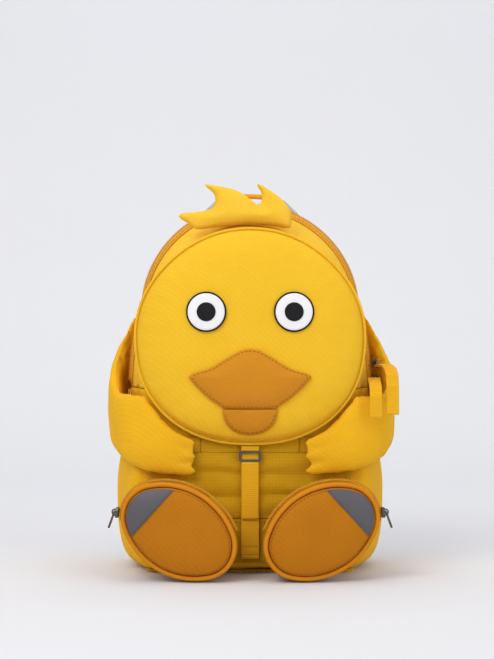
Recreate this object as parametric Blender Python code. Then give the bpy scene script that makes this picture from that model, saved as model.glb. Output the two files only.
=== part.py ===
"""Children's backpack in the form of a duck, built as separate sewn and metal pieces.

Front faces -Y, up is +Z, the floor is z = 0 under the middle of the base panel.
The bag is one arched shell cut at the zip into a main shell and a head lid, so both keep one surface.
Feet are zipped pockets; the face is a padded flap; straps, wings, handle and pulls hang on their own pivots.
"""

import math

import bmesh
import bpy
from mathutils import Matrix, Vector

# Fits
GAP = 0.0003
SEAM_GAP = 0.0006
WALL = 0.003

# Bag body
BAG_HEIGHT = 0.310
ARCH_START_Z = 0.150
ARCH_HALF_WIDTH = 0.1026
SHOULDER_TAPER = 0.0106
BELLY_HALF_WIDTH = 0.114
BELLY_Z = 0.070
BASE_HALF_WIDTH = 0.088
BASE_THICKNESS = 0.0025
FRONT_Y = -0.061
BACK_Y = 0.050
BACK_ROUND = 0.012
FRONT_ROUND = 0.014
LID_TAPER_SIDE = 0.010
LID_TAPER_TOP = 0.018
BACK_PAD_THICKNESS = 0.009
BACK_PAD_INSET = 0.014

# Main zip and lid
ZIP_Y = -0.008
ZIP_END_RISE = 0.005
TAPE_WIDTH = 0.010
TAPE_THICKNESS = 0.001
COIL_WIDTH = 0.002
COIL_HEIGHT = 0.001
TONGUE_HALF_WIDTH = 0.036
LID_AXIS_DROP = 0.008

# Face flap
FACE_HALF_WIDTH = 0.097
FACE_HALF_HEIGHT = 0.0875
FACE_TOP_DROP = 0.024
FACE_POWER = 2.25
FACE_EDGE_DEPTH = 0.0065
FACE_BULGE = 0.019
FACE_PIPING_RADIUS = 0.0012
EYE_RADIUS = 0.0166
EYE_SPREAD = 0.036
EYE_RISE = 0.020
EYE_THICKNESS = 0.0014
BILL_HALF_WIDTH = 0.050
BILL_HEIGHT = 0.050
BILL_DROP = 0.0345
BILL_THICKNESS = 0.0065
LIP_HALF_WIDTH = 0.0225
LIP_HEIGHT = 0.0215
LIP_THICKNESS = 0.003

# Belly pocket and closing strap
POCKET_HALF_WIDTH = 0.084
POCKET_LOW_Z = 0.047
POCKET_THICKNESS = 0.0022
POCKET_FOLD = 0.0016
STRAP_WIDTH = 0.0150
STRAP_THICKNESS = 0.0022
STRAP_FOOT_Z = 0.014
BUCKLE_WIDTH = 0.0190
BUCKLE_HEIGHT = 0.0085
BUCKLE_THICKNESS = 0.0018
BUCKLE_DROP = 0.0080

# Wings
WING_THICKNESS = 0.0105
WING_FINGER = 0.010
WING_SLIDER_ROOM = 0.0027

# Feet
FOOT_HALF_LENGTH = 0.0505
FOOT_HALF_HEIGHT = 0.0365
FOOT_END_RADIUS = 0.028
FOOT_TILT = math.radians(30.0)
FOOT_YAW = math.radians(5.0)
FOOT_BACK_TAPER = 0.012
FOOT_SPREAD = 0.0580
FOOT_FRONT_Y = -0.113
FOOT_PANEL_STEP = 0.0046
PIPING_RADIUS = 0.0021
COVER_DEPTH = 0.0095
REFLECTOR_THICKNESS = 0.0008
REFLECTOR_START = 0.51
REFLECTOR_LEAN = 0.22

# Sliders and pulls
SLIDER_LENGTH = 0.0085
SLIDER_WIDTH = 0.0070
SLIDER_THICKNESS = 0.0026
BRIDGE_RADIUS = 0.0006
PULL_WIDTH = 0.0052
PULL_LENGTH = 0.0150
PULL_THICKNESS = 0.0012
TAB_WIDTH = 0.0105
TAB_THICKNESS = 0.0014

POST_RADIUS = 0.0008

# Handle and shoulder straps
HANDLE_HALF_SPAN = 0.054
HANDLE_RISE = 0.029
HANDLE_SETBACK = 0.002
HANDLE_WIDTH = 0.014
HANDLE_THICKNESS = 0.004
SLEEVE_LENGTH = 0.016
SHOULDER_WIDTH = 0.042
SHOULDER_THICKNESS = 0.009
WEBBING_WIDTH = 0.020
WEBBING_THICKNESS = 0.0018
STRAP_TOP_X = 0.034
STRAP_LOW_X = 0.078
STRAP_TOP_Z = 0.268
STRAP_LOW_Z = 0.034
STRAP_BOW = 0.040

ROUND_STEPS = 4
HALF_POINTS = 26

# Derived places
Z0 = BASE_THICKNESS + GAP
TOP_RADIUS = ARCH_HALF_WIDTH - SHOULDER_TAPER
TOP_CENTRE_Z = BAG_HEIGHT - TOP_RADIUS
ARCH_DROP = TOP_CENTRE_Z - ARCH_START_Z
SIDE_RADIUS = (ARCH_HALF_WIDTH**2 + ARCH_DROP**2 - TOP_RADIUS**2) / (2 * SHOULDER_TAPER)
SIDE_CENTRE_X = ARCH_HALF_WIDTH - SIDE_RADIUS
ZIP_END_Z = ARCH_START_Z + ZIP_END_RISE
FACE_TOP_Z = BAG_HEIGHT - FACE_TOP_DROP
FACE_Z = FACE_TOP_Z - FACE_HALF_HEIGHT
FACE_LOW_Z = FACE_Z - FACE_HALF_HEIGHT
FACE_BACK_Y = FRONT_Y - GAP
FACE_RIM_Y = FACE_BACK_Y - FACE_EDGE_DEPTH
LID_AXIS_Z = FACE_LOW_Z - LID_AXIS_DROP
LID_AXIS_Y = FACE_RIM_Y
POCKET_TOP_Z = LID_AXIS_Z - 4 * GAP
POCKET_FRONT_Y = FRONT_Y - GAP - POCKET_FOLD - POCKET_THICKNESS
BACK_PAD_Y = BACK_Y + GAP
PULL_RISE = SLIDER_THICKNESS + PULL_THICKNESS

scene = bpy.context.scene
for old in list(bpy.data.objects):
    bpy.data.objects.remove(old, do_unlink=True)
bag_collection = bpy.data.collections.new("Duck_Backpack")
cutter_collection = bpy.data.collections.new("Cutters")
scene.collection.children.link(bag_collection)
scene.collection.children.link(cutter_collection)

PALETTE = {
    "Yellow_Twill": ((0.83, 0.49, 0.04), 0.85, 0.0),
    "Ochre_Ripstop": ((0.36, 0.16, 0.006), 0.8, 0.0),
    "Orange_Twill": ((0.65, 0.26, 0.02), 0.85, 0.0),
    "Yellow_Webbing": ((0.58, 0.28, 0.01), 0.8, 0.0),
    "Grey_Reflective": ((0.14, 0.13, 0.14), 0.5, 0.0),
    "Gunmetal": ((0.12, 0.11, 0.10), 0.35, 1.0),
    "Black_Patch": ((0.01, 0.01, 0.01), 0.7, 0.0),
    "Grey_Mesh": ((0.20, 0.20, 0.21), 0.9, 0.0),
    "Grey_Plastic": ((0.10, 0.10, 0.11), 0.5, 0.0),
}


def material(name):
    """Give back the named fabric or metal, made the first time it is asked for."""
    found = bpy.data.materials.get(name)
    if found:
        return found
    made = bpy.data.materials.new(name)
    made.use_nodes = True
    colour, rough, metal = PALETTE[name]
    shader = made.node_tree.nodes["Principled BSDF"]
    shader.inputs["Base Color"].default_value = (*colour, 1.0)
    shader.inputs["Roughness"].default_value = rough
    shader.inputs["Metallic"].default_value = metal
    return made


def empty(name, place, parent=None, turn=None):
    """A pivot: an empty that moving pieces hang on."""
    pivot = bpy.data.objects.new(name, None)
    pivot.empty_display_size = 0.02
    pivot.matrix_basis = Matrix.Translation(Vector(place)) @ (turn or Matrix.Identity(4))
    bag_collection.objects.link(pivot)
    pivot.parent = parent
    return pivot


def pivot_place(pivot):
    """The world matrix of a pivot, worked out up its parents."""
    matrix = Matrix.Identity(4)
    while pivot is not None:
        matrix = pivot.matrix_basis @ matrix
        pivot = pivot.parent
    return matrix


def add(name, data, finish, pivot=None, local=False):
    """Link a named piece; pieces drawn in world places are moved to their pivot's own frame."""
    piece = bpy.data.objects.new(name, data)
    bag_collection.objects.link(piece)
    if finish:
        data.materials.append(material(finish))
    if pivot is not None:
        if not local:
            data.transform(pivot_place(pivot).inverted())
        piece.parent = pivot
    return piece


def loft(rings, cyclic=False):
    """Skin rings of equal count into one closed mesh, with flat caps unless the run closes on itself."""
    bm = bmesh.new()
    loops = [[bm.verts.new(p) for p in ring] for ring in rings]
    count = len(loops[0])
    pairs = list(zip(loops, loops[1:]))
    if cyclic:
        pairs.append((loops[-1], loops[0]))
    for low, high in pairs:
        for i in range(count):
            j = (i + 1) % count
            bm.faces.new((low[i], low[j], high[j], high[i]))
    if not cyclic:
        bm.faces.new(loops[0])
        bm.faces.new(loops[-1])
    bmesh.ops.recalc_face_normals(bm, faces=bm.faces)
    mesh = bpy.data.meshes.new("loft")
    bm.to_mesh(mesh)
    bm.free()
    return mesh


def cutter(name, data, place=None):
    """A hidden shape used only to cut others."""
    shape = bpy.data.objects.new(name, data)
    cutter_collection.objects.link(shape)
    shape.hide_render = True
    shape.display_type = "WIRE"
    if place is not None:
        shape.matrix_basis = place
    return shape


def boolean(piece, other, operation):
    """Exact Boolean kept live on the piece."""
    step = piece.modifiers.new(operation.title(), "BOOLEAN")
    step.operation = operation
    step.solver = "EXACT"
    step.object = other


def spline(points, steps):
    """Smooth run through a few points, with the given number of steps between each pair."""
    pts = [Vector(p) for p in points]
    pts = [2 * pts[0] - pts[1]] + pts + [2 * pts[-1] - pts[-2]]
    run = []
    for a, b, c, d in zip(pts, pts[1:], pts[2:], pts[3:]):
        for k in range(steps):
            t = k / steps
            bend = (3 * b - a - 3 * c + d) * t**3 + (2 * a - 5 * b + 4 * c - d) * t**2 + (c - a) * t
            run.append(0.5 * bend + b)
    run.append(pts[-2])
    return run


def ribbon(run, width, thickness, across, widths=None):
    """Webbing: a rectangle swept along a run, its width kept near the given direction."""
    rings = []
    for i, point in enumerate(run):
        along = (run[min(i + 1, len(run) - 1)] - run[max(i - 1, 0)]).normalized()
        side = Vector(across)
        side = (side - side.dot(along) * along).normalized()
        up = along.cross(side)
        half = 0.5 * (widths[i] if widths else width)
        flat = half - 0.3 * thickness
        mid, top = 0.2 * thickness, 0.5 * thickness
        corners = [(-half, -mid), (-flat, -top), (flat, -top), (half, -mid)]
        corners += [(half, mid), (flat, top), (-flat, top), (-half, mid)]
        rings.append([point + side * u + up * v for u, v in corners])
    return loft(rings)


def resample(points, count):
    """Points at even distances along a run."""
    lengths = [0.0]
    for a, b in zip(points, points[1:]):
        lengths.append(lengths[-1] + math.dist(a, b))
    run, k = [], 0
    for i in range(count + 1):
        goal = lengths[-1] * i / count
        while k < len(lengths) - 2 and lengths[k + 1] < goal:
            k += 1
        share = (goal - lengths[k]) / max(lengths[k + 1] - lengths[k], 1e-12)
        a, b = points[k], points[k + 1]
        run.append((a[0] + (b[0] - a[0]) * share, a[1] + (b[1] - a[1]) * share))
    return run


def half_width(z):
    """Half the bag's width at a height: base curve, belly swell, side arc, then top arc."""
    if z <= BELLY_Z:
        share = (BELLY_Z - z) / (BELLY_Z - Z0)
        return BASE_HALF_WIDTH + (BELLY_HALF_WIDTH - BASE_HALF_WIDTH) * (1 - share**3) ** (1 / 3)
    if z <= ARCH_START_Z:
        share = (ARCH_START_Z - z) / (ARCH_START_Z - BELLY_Z)
        return ARCH_HALF_WIDTH + (BELLY_HALF_WIDTH - ARCH_HALF_WIDTH) * 0.5 * (1 - math.cos(math.pi * share))
    side = SIDE_CENTRE_X + math.sqrt(SIDE_RADIUS**2 - (z - ARCH_START_Z) ** 2)
    if z > TOP_CENTRE_Z:
        side = min(side, math.sqrt(max(TOP_RADIUS**2 - (z - TOP_CENTRE_Z) ** 2, 0.0)))
    return side


def bag_outline():
    """The bag's outline at the zip, from the bottom middle up the right side, over the top and down."""
    run = [(0.0, Z0)]
    for k in range(121):
        rise = 0.5 * (1 - math.cos(math.pi * k / 120))
        z = Z0 + (BAG_HEIGHT - Z0) * rise
        run.append((half_width(z), z))
    right = resample(run, HALF_POINTS)
    left = [(-x, z) for x, z in reversed(right[1:-1])]
    return right + left


OUTLINE = bag_outline()


def bag_ring(y, side, top, low):
    """The outline at one depth, drawn in by the given amounts at the sides, the top and the base."""
    tall = BAG_HEIGHT - Z0
    narrow = 1 - side / BELLY_HALF_WIDTH
    return [(x * narrow, y, Z0 + low + (z - Z0) * (tall - top - low) / tall) for x, z in OUTLINE]


def taper(y):
    """Share of the lid's taper reached at a depth in front of the zip."""
    return max(0.0, min(1.0, (ZIP_Y - y) / (ZIP_Y - FRONT_Y - FRONT_ROUND)))


def bag_body(shrink):
    """The whole bag as one solid, drawn in (or grown) all round by the given amount."""
    rings = []
    for k in range(ROUND_STEPS + 1):
        turn = 0.5 * math.pi * k / ROUND_STEPS
        inset = BACK_ROUND * (1 - math.sin(turn)) + shrink
        y = BACK_Y - shrink - BACK_ROUND * (1 - math.cos(turn))
        rings.append(bag_ring(y, inset, inset, 0.5 * (inset - shrink) + shrink))
    rings.append(bag_ring(ZIP_Y, shrink, shrink, shrink))
    for k in range(ROUND_STEPS + 1):
        turn = 0.5 * math.pi * (1 - k / ROUND_STEPS)
        inset = FRONT_ROUND * (1 - math.sin(turn)) + shrink
        y = FRONT_Y + shrink + FRONT_ROUND * (1 - math.cos(turn))
        low = 0.5 * (inset - shrink) + shrink
        rings.append(bag_ring(y, LID_TAPER_SIDE + inset, LID_TAPER_TOP + inset, low))
    return loft(rings)


def lid_zone(grow):
    """The block of space in front of the zip that the lid takes from the bag, with its hinge tongue."""
    far = 2 * BELLY_HALF_WIDTH
    high = 2 * BAG_HEIGHT
    side_z, tongue_z, tongue_x = ZIP_END_Z - grow, LID_AXIS_Z - grow, TONGUE_HALF_WIDTH + grow
    half = [(far, high), (far, side_z), (tongue_x, side_z), (tongue_x, tongue_z)]
    shape = half + [(-x, z) for x, z in reversed(half)]
    return loft([[(x, y, z) for x, z in shape] for y in (3 * FRONT_Y, ZIP_Y + grow)])


def arch_band(section):
    """A strip along the zip's arch; the section is (depth, height off the shell) corners."""
    path = [i for i, (x, z) in enumerate(OUTLINE) if z > ZIP_END_Z + 2 * SEAM_GAP]
    rings = []
    for i in path:
        ring = []
        for y, off in section:
            side = taper(y) * LID_TAPER_SIDE - off
            top = taper(y) * LID_TAPER_TOP - off
            ring.append(bag_ring(y, side, top, 0.0)[i])
        rings.append(ring)
    return loft(rings)


def tape_section(edge, sign):
    """Zip tape with its coil bead along the edge that meets the other half."""
    low, flat, bead = 1.5 * GAP, 1.5 * GAP + TAPE_THICKNESS, 1.5 * GAP + TAPE_THICKNESS + COIL_HEIGHT
    far, near = edge + sign * TAPE_WIDTH, edge + sign * COIL_WIDTH
    return [(edge, low), (far, low), (far, flat), (near, flat), (near, bead), (edge, bead)]


def face_radius(x, z):
    """How far out on the face a place is: 0 in the middle, 1 at the seam."""
    power = FACE_POWER
    return (abs(x / FACE_HALF_WIDTH) ** power + abs((z - FACE_Z) / FACE_HALF_HEIGHT) ** power) ** (1 / power)


def face_swell(s):
    """Height of the face's padding over its seam, as a share of the full swell."""
    return (1 - min(s, 1.0) ** 3) ** 0.4545


def face_front(x, z):
    """Depth of the face's outer surface at a place."""
    return FACE_RIM_Y - FACE_BULGE * face_swell(face_radius(x, z))


def face_outline(scale, count=40):
    """The face's outline, drawn in by a scale."""
    run = []
    for k in range(count):
        turn = 2 * math.pi * k / count
        c, s = math.cos(turn), math.sin(turn)
        reach = (abs(c) ** FACE_POWER + abs(s) ** FACE_POWER) ** (-1 / FACE_POWER)
        run.append((FACE_HALF_WIDTH * c * reach * scale, FACE_Z + FACE_HALF_HEIGHT * s * reach * scale))
    return run


def applique(outline, centre, thickness, edge, scales):
    """A padded patch lying on the face: the same outline drawn in towards its middle, back then front."""
    rings = []
    for share in scales:
        rings.append([(share, 0.0)])
    for share in reversed(scales):
        height = edge + (thickness - edge) * (1 - share**4)
        rings.append([(share, height)])
    skins = []
    for ((share, height),) in rings:
        ring = []
        for x, z in outline:
            px, pz = centre[0] + (x - centre[0]) * share, centre[1] + (z - centre[1]) * share
            ring.append((px, face_front(px, pz) - 2 * GAP - height, pz))
        skins.append(ring)
    return loft(skins)


def flat_piece(outline, holes, thickness, bevel=0.0):
    """A flat outline with holes, filled and thickened, as a mesh in the XY plane."""
    shape = bpy.data.curves.new("flat", "CURVE")
    shape.dimensions = "2D"
    shape.fill_mode = "BOTH"
    shape.extrude = 0.5 * thickness - bevel
    shape.bevel_depth = bevel
    shape.bevel_resolution = 1
    shape.offset = -bevel
    for run in [outline] + holes:
        line = shape.splines.new("POLY")
        line.points.add(len(run) - 1)
        for point, (x, y) in zip(line.points, run):
            point.co = (x, y, 0.0, 1.0)
        line.use_cyclic_u = True
    holder = bpy.data.objects.new("flat", shape)
    scene.collection.objects.link(holder)
    bpy.context.view_layer.update()
    mesh = bpy.data.meshes.new_from_object(holder.evaluated_get(bpy.context.evaluated_depsgraph_get()))
    bpy.data.objects.remove(holder, do_unlink=True)
    bm = bmesh.new()
    bm.from_mesh(mesh)
    bmesh.ops.remove_doubles(bm, verts=bm.verts, dist=0.00001)
    bmesh.ops.recalc_face_normals(bm, faces=bm.faces)
    bm.to_mesh(mesh)
    bm.free()
    mesh.materials.clear()
    return mesh


def round_box(width, height, radius, steps=4):
    """Rounded rectangle outline about the origin."""
    run = []
    spots = [(1, 1, 0), (-1, 1, 90), (-1, -1, 180), (1, -1, 270)]
    for sx, sy, start in spots:
        for k in range(steps + 1):
            turn = math.radians(start + 90 * k / steps)
            cx, cy = sx * (0.5 * width - radius), sy * (0.5 * height - radius)
            run.append((cx + radius * math.cos(turn), cy + radius * math.sin(turn)))
    return run


def tube(run, radius, cyclic=False, sides=8):
    """A round cord along a run of points."""
    rings = []
    count = len(run)
    up = Vector((0.0, 1.0, 0.0))
    for i in range(count):
        if cyclic:
            along = (run[(i + 1) % count] - run[i - 1]).normalized()
        else:
            along = (run[min(i + 1, count - 1)] - run[max(i - 1, 0)]).normalized()
        side = along.cross(up).normalized()
        top = side.cross(along)
        turns = [2 * math.pi * k / sides for k in range(sides)]
        rings.append([run[i] + side * radius * math.cos(a) + top * radius * math.sin(a) for a in turns])
    return loft(rings, cyclic)


def box_mesh(low, high):
    """A plain block between two corners."""
    (x0, y0, z0), (x1, y1, z1) = low, high
    ring = [(x0, y0), (x1, y0), (x1, y1), (x0, y1)]
    return loft([[(x, y, z) for x, y in ring] for z in (z0, z1)])


def frame_matrix(place, along, out):
    """A frame at a place: local Y runs along, local Z points out, local X lies across."""
    y = Vector(along).normalized()
    z = (Vector(out) - Vector(out).dot(y) * y).normalized()
    x = y.cross(z)
    turn = Matrix((x, y, z)).transposed().to_4x4()
    return Matrix.Translation(Vector(place)) @ turn


def slider_mesh():
    """Zip slider body in its own frame: along local Y, its under side at z = 0."""
    half = 0.5 * SLIDER_LENGTH
    nose, tail = 0.5 * SLIDER_WIDTH, 0.36 * SLIDER_WIDTH
    plan = [(-tail, -half), (tail, -half), (nose, 0.35 * half), (0.7 * nose, half), (-0.7 * nose, half)]
    plan.append((-nose, 0.35 * half))
    scales = [(0.94, 0.0), (1.0, 0.15), (1.0, 0.8), (0.88, 1.0)]
    return loft([[(x * s, y * s, h * SLIDER_THICKNESS) for x, y in plan] for s, h in scales])


def bridge_mesh():
    """The slider's bridge: a low arch of wire along local Y, its ends sunk into the body."""
    reach, rise = 0.30 * SLIDER_LENGTH, 0.0030
    run = []
    for k in range(9):
        turn = math.pi * k / 8
        height = 0.6 * SLIDER_THICKNESS + (rise + 0.4 * SLIDER_THICKNESS) * math.sin(turn) ** 0.6
        run.append(Vector((0.0, -reach * math.cos(turn), height)))
    rings = []
    for i, point in enumerate(run):
        along = (run[min(i + 1, 8)] - run[max(i - 1, 0)]).normalized()
        side = Vector((1.0, 0.0, 0.0))
        up = along.cross(side)
        turns = [2 * math.pi * k / 8 for k in range(8)]
        rings.append([point + BRIDGE_RADIUS * (side * math.cos(a) + up * math.sin(a)) for a in turns])
    return loft(rings)


def post_mesh():
    """The swivel post that a main pull's eye turns on, with a head to keep the eye on."""
    head = PULL_RISE + 0.5 * PULL_THICKNESS + 2 * GAP
    profile = [(POST_RADIUS, 0.5 * SLIDER_THICKNESS), (POST_RADIUS, head), (2.2 * POST_RADIUS, head)]
    profile.append((2.0 * POST_RADIUS, head + 0.0008))
    turns = [2 * math.pi * k / 12 for k in range(12)]
    return loft([[(r * math.cos(a), r * math.sin(a), h) for a in turns] for r, h in profile])


def slider(name, matrix, pivot=None, swivel=False):
    """A metal slider with a bridge, or a swivel post, for its pull; placed by its frame."""
    body = slider_mesh()
    body.transform(matrix)
    piece = add(name, body, "Gunmetal", pivot)
    arch = post_mesh() if swivel else bridge_mesh()
    arch.transform(matrix)
    boolean(piece, cutter(name + "_bridge", arch), "UNION")
    return piece


def pull_mesh(matrix, tilt, swivel=False):
    """Metal pull: a flat plate with an eye round the bridge or post and a slot, hanging along local -Y."""
    eye = 0.0032
    outer = [(x, y - 0.5 * PULL_LENGTH + 0.0012) for x, y in round_box(PULL_WIDTH, PULL_LENGTH, 0.0018)]
    hole = [(x, y - 0.5 * eye) for x, y in round_box(0.0026, eye + 0.0008, 0.0008, 2)]
    if swivel:
        outer = [(x, y + 0.0014) for x, y in outer]
        turns = [2 * math.pi * k / 16 for k in range(16)]
        reach = POST_RADIUS + 2 * GAP
        hole = [(reach * math.cos(a), reach * math.sin(a)) for a in turns]
    slot = [(x, y - PULL_LENGTH + 0.0046) for x, y in round_box(0.0026, 0.0036, 0.0010, 2)]
    mesh = flat_piece(outer, [list(reversed(hole)), list(reversed(slot))], PULL_THICKNESS)
    mesh.transform(Matrix.Rotation(tilt, 4, "X"))
    mesh.transform(matrix @ Matrix.Translation((0.0, 0.0, PULL_RISE)))
    return mesh


# Bag shell, lid and base
cavity = cutter("bag_cavity", bag_body(WALL))
whole = cutter("bag_grown", bag_body(-1.3 * GAP))
lid_gone = cutter("lid_space", lid_zone(SEAM_GAP))
lid_kept = cutter("lid_block", lid_zone(0.0))
main_shell = add("main_shell", bag_body(0.0), "Yellow_Twill")
boolean(main_shell, cavity, "DIFFERENCE")
boolean(main_shell, lid_gone, "DIFFERENCE")

lid_pivot = empty("lid_pivot", (0.0, LID_AXIS_Y, LID_AXIS_Z))
lid_shell = add("lid_shell", bag_body(0.0), "Yellow_Twill", lid_pivot)
boolean(lid_shell, cavity, "DIFFERENCE")
boolean(lid_shell, lid_kept, "INTERSECT")

base_deep = 0.5 * (BACK_Y - BACK_ROUND - FRONT_Y - FRONT_ROUND)
base_mid = 0.5 * (BACK_Y - BACK_ROUND + FRONT_Y + FRONT_ROUND)
base_shape = round_box(2 * BASE_HALF_WIDTH, 2 * base_deep, 0.014)
base_mesh = flat_piece(base_shape, [], BASE_THICKNESS, 0.0006)
base_mesh.transform(Matrix.Translation((0.0, base_mid, 0.5 * BASE_THICKNESS)))
add("base_panel", base_mesh, "Yellow_Twill")

pad_rings = []
for drawn, depth in ((BACK_PAD_INSET + 0.004, 0.0), (BACK_PAD_INSET, 0.25), (BACK_PAD_INSET + 0.002, 0.75),
                     (BACK_PAD_INSET + 0.008, 1.0)):
    pad_rings.append(bag_ring(BACK_PAD_Y + depth * BACK_PAD_THICKNESS, drawn, drawn, drawn))
add("back_pad", loft(pad_rings), "Grey_Mesh")

rear_tape = add("rear_zip_tape", arch_band(tape_section(ZIP_Y + SEAM_GAP, 1)), "Orange_Twill")
lid_tape = add("lid_zip_tape", arch_band(tape_section(ZIP_Y, -1)), "Orange_Twill", lid_pivot)

# Sewn tabs over the two ends of the main zip
TAB_Z = ZIP_END_Z - SEAM_GAP - 0.006
for side, word in ((-1, "left"), (1, "right")):
    reach = half_width(TAB_Z) + 2 * GAP
    end = frame_matrix((side * reach, ZIP_Y, TAB_Z), (0, 0, 1), (side, 0, 0))
    end_mesh = flat_piece(round_box(0.012, 0.009, 0.002), [], 0.0012, 0.0003)
    end_mesh.transform(end @ Matrix.Translation((0.0, 0.0, 0.0006)))
    piece = add(word + "_zip_end_tab", end_mesh, "Yellow_Twill")
    boolean(piece, whole, "DIFFERENCE")

# Feather tuft on the lid's top
TUFT_POINTS = [
    (0.034, 0.001), (0.035, 0.012), (0.031, 0.022), (0.022, 0.031), (0.006, 0.041), (0.010, 0.032),
    (0.008, 0.022), (-0.004, 0.030), (-0.018, 0.036), (-0.038, 0.039), (-0.030, 0.031), (-0.031, 0.020),
    (-0.044, 0.016), (-0.061, 0.012), (-0.050, 0.004), (-0.044, 0.000), (-0.020, 0.003), (0.010, 0.004),
]
TUFT_THICKNESS = 0.016
TUFT_Y = FRONT_Y + 0.009
tuft_loop = [Vector((x, z, 0.0)) for x, z in TUFT_POINTS]
tuft_run = [(p.x, p.y) for p in spline(tuft_loop + tuft_loop[:1], 3)[:-1]]
tuft_mesh = flat_piece(tuft_run, [], TUFT_THICKNESS, 0.004)
tuft_place = Matrix.Translation((0.0, TUFT_Y, FACE_TOP_Z + 3 * GAP))
tuft_mesh.transform(tuft_place @ Matrix.Rotation(math.pi / 2, 4, "X"))
tuft = add("tuft", tuft_mesh, "Yellow_Twill", lid_pivot)
boolean(tuft, whole, "DIFFERENCE")

# Face flap, hung from the lid at its top edge
face_pivot = empty("face_pivot", (0.0, FACE_RIM_Y - LID_AXIS_Y, FACE_TOP_Z - LID_AXIS_Z), lid_pivot)
face_rings = [[(x, FACE_BACK_Y, z) for x, z in face_outline(0.62)]]
face_rings.append([(x, FACE_BACK_Y - 0.10 * FACE_EDGE_DEPTH, z) for x, z in face_outline(0.88)])
face_rings.append([(x, FACE_BACK_Y - 0.45 * FACE_EDGE_DEPTH, z) for x, z in face_outline(0.97)])
for share in (1.0, 0.985, 0.94, 0.85, 0.65, 0.35, 0.12):
    swell = FACE_RIM_Y - FACE_BULGE * face_swell(share)
    face_rings.append([(x, swell, z) for x, z in face_outline(share)])
add("face_pad", loft(face_rings), "Yellow_Twill", face_pivot)
drawn = 1 + (FACE_PIPING_RADIUS + 2 * GAP) / FACE_HALF_HEIGHT
piping_run = [Vector((x, FACE_RIM_Y, z)) for x, z in face_outline(drawn)]
add("face_piping", tube(piping_run, FACE_PIPING_RADIUS, True), "Yellow_Twill", face_pivot)

eye_z = FACE_Z + EYE_RISE
for side, word in ((-1, "left"), (1, "right")):
    turns = [2 * math.pi * k / 20 for k in range(20)]
    ring = [(side * EYE_SPREAD + EYE_RADIUS * math.cos(a), eye_z + EYE_RADIUS * math.sin(a)) for a in turns]
    patch = applique(ring, (side * EYE_SPREAD, eye_z), EYE_THICKNESS, 0.7 * EYE_THICKNESS, (0.3, 0.7, 1.0))
    add(word + "_eye", patch, "Black_Patch", face_pivot)

BILL_Z = FACE_Z - BILL_DROP
BILL_SHAPE = [(0.0, 0.475), (0.16, 0.445), (0.40, 0.31), (0.67, 0.15), (0.93, 0.07), (1.0, 0.02)]
BILL_SHAPE += [(0.95, -0.06), (0.81, -0.21), (0.66, -0.34), (0.53, -0.43), (0.44, -0.485), (0.25, -0.5)]
BILL_SHAPE.append((0.0, -0.5))
bill_half = [Vector((BILL_HALF_WIDTH * u, BILL_Z + BILL_HEIGHT * v, 0.0)) for u, v in BILL_SHAPE]
bill_loop = bill_half + [Vector((-p.x, p.y, 0.0)) for p in reversed(bill_half[1:-1])]
bill_ring = [(p.x, p.y) for p in spline(bill_loop + bill_loop[:1], 2)[:-1]]
add("upper_bill", applique(bill_ring, (0.0, BILL_Z), BILL_THICKNESS, 0.0025, (0.25, 0.5, 0.8, 1.0)),
    "Orange_Twill", face_pivot)

LIP_TOP_Z = BILL_Z - 0.5 * BILL_HEIGHT - 2 * GAP
lip_back = face_front(LIP_HALF_WIDTH, LIP_TOP_Z - 0.4 * LIP_HEIGHT)
lip_front = min(face_front(0.0, LIP_TOP_Z), lip_back) - 2 * GAP - LIP_THICKNESS
lip_place = Vector((0.0, lip_front, LIP_TOP_Z)) - pivot_place(face_pivot).translation
lip_pivot = empty("lip_pivot", lip_place, face_pivot)
lip_ring = []
for k in range(24):
    turn = math.pi * k / 23
    lip_ring.append((LIP_HALF_WIDTH * math.cos(turn), LIP_TOP_Z - LIP_HEIGHT * math.sin(turn) ** 0.8))
lip_skins = []
for share, back in ((0.4, 1), (0.8, 1), (1.0, 1), (1.0, 0), (0.9, 0), (0.4, 0)):
    ring = []
    for x, z in lip_ring:
        px, pz = x * share, LIP_TOP_Z + (z - LIP_TOP_Z) * share
        depth = face_front(px, pz) - 2 * GAP
        thick = 0.0 if back else LIP_THICKNESS * (0.75 if share == 1.0 else 1.0)
        ring.append((px, max(depth - thick, lip_front), pz))
    lip_skins.append(ring)
add("lower_bill", loft(lip_skins), "Orange_Twill", lip_pivot)

# Belly pocket: a panel lying on the front with soft folds
pocket_rows = []
for k in range(13):
    v = k / 12
    z = POCKET_LOW_Z + (POCKET_TOP_Z - POCKET_LOW_Z) * v
    fold = POCKET_FOLD * (0.5 - 0.5 * math.cos(2 * math.pi * 3 * v))
    front = FRONT_Y - GAP - POCKET_THICKNESS - fold
    row = []
    for i in range(13):
        u = -1 + i / 6
        edge = 1 - abs(u) ** 6 * 0.6
        row.append((u * POCKET_HALF_WIDTH, FRONT_Y - GAP + (front - FRONT_Y + GAP) * edge, z))
    row += [(u * POCKET_HALF_WIDTH, FRONT_Y - GAP, z) for u in (1.0, 0.0, -1.0)]
    pocket_rows.append(row)
add("belly_pocket", loft(pocket_rows), "Ochre_Ripstop")

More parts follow.
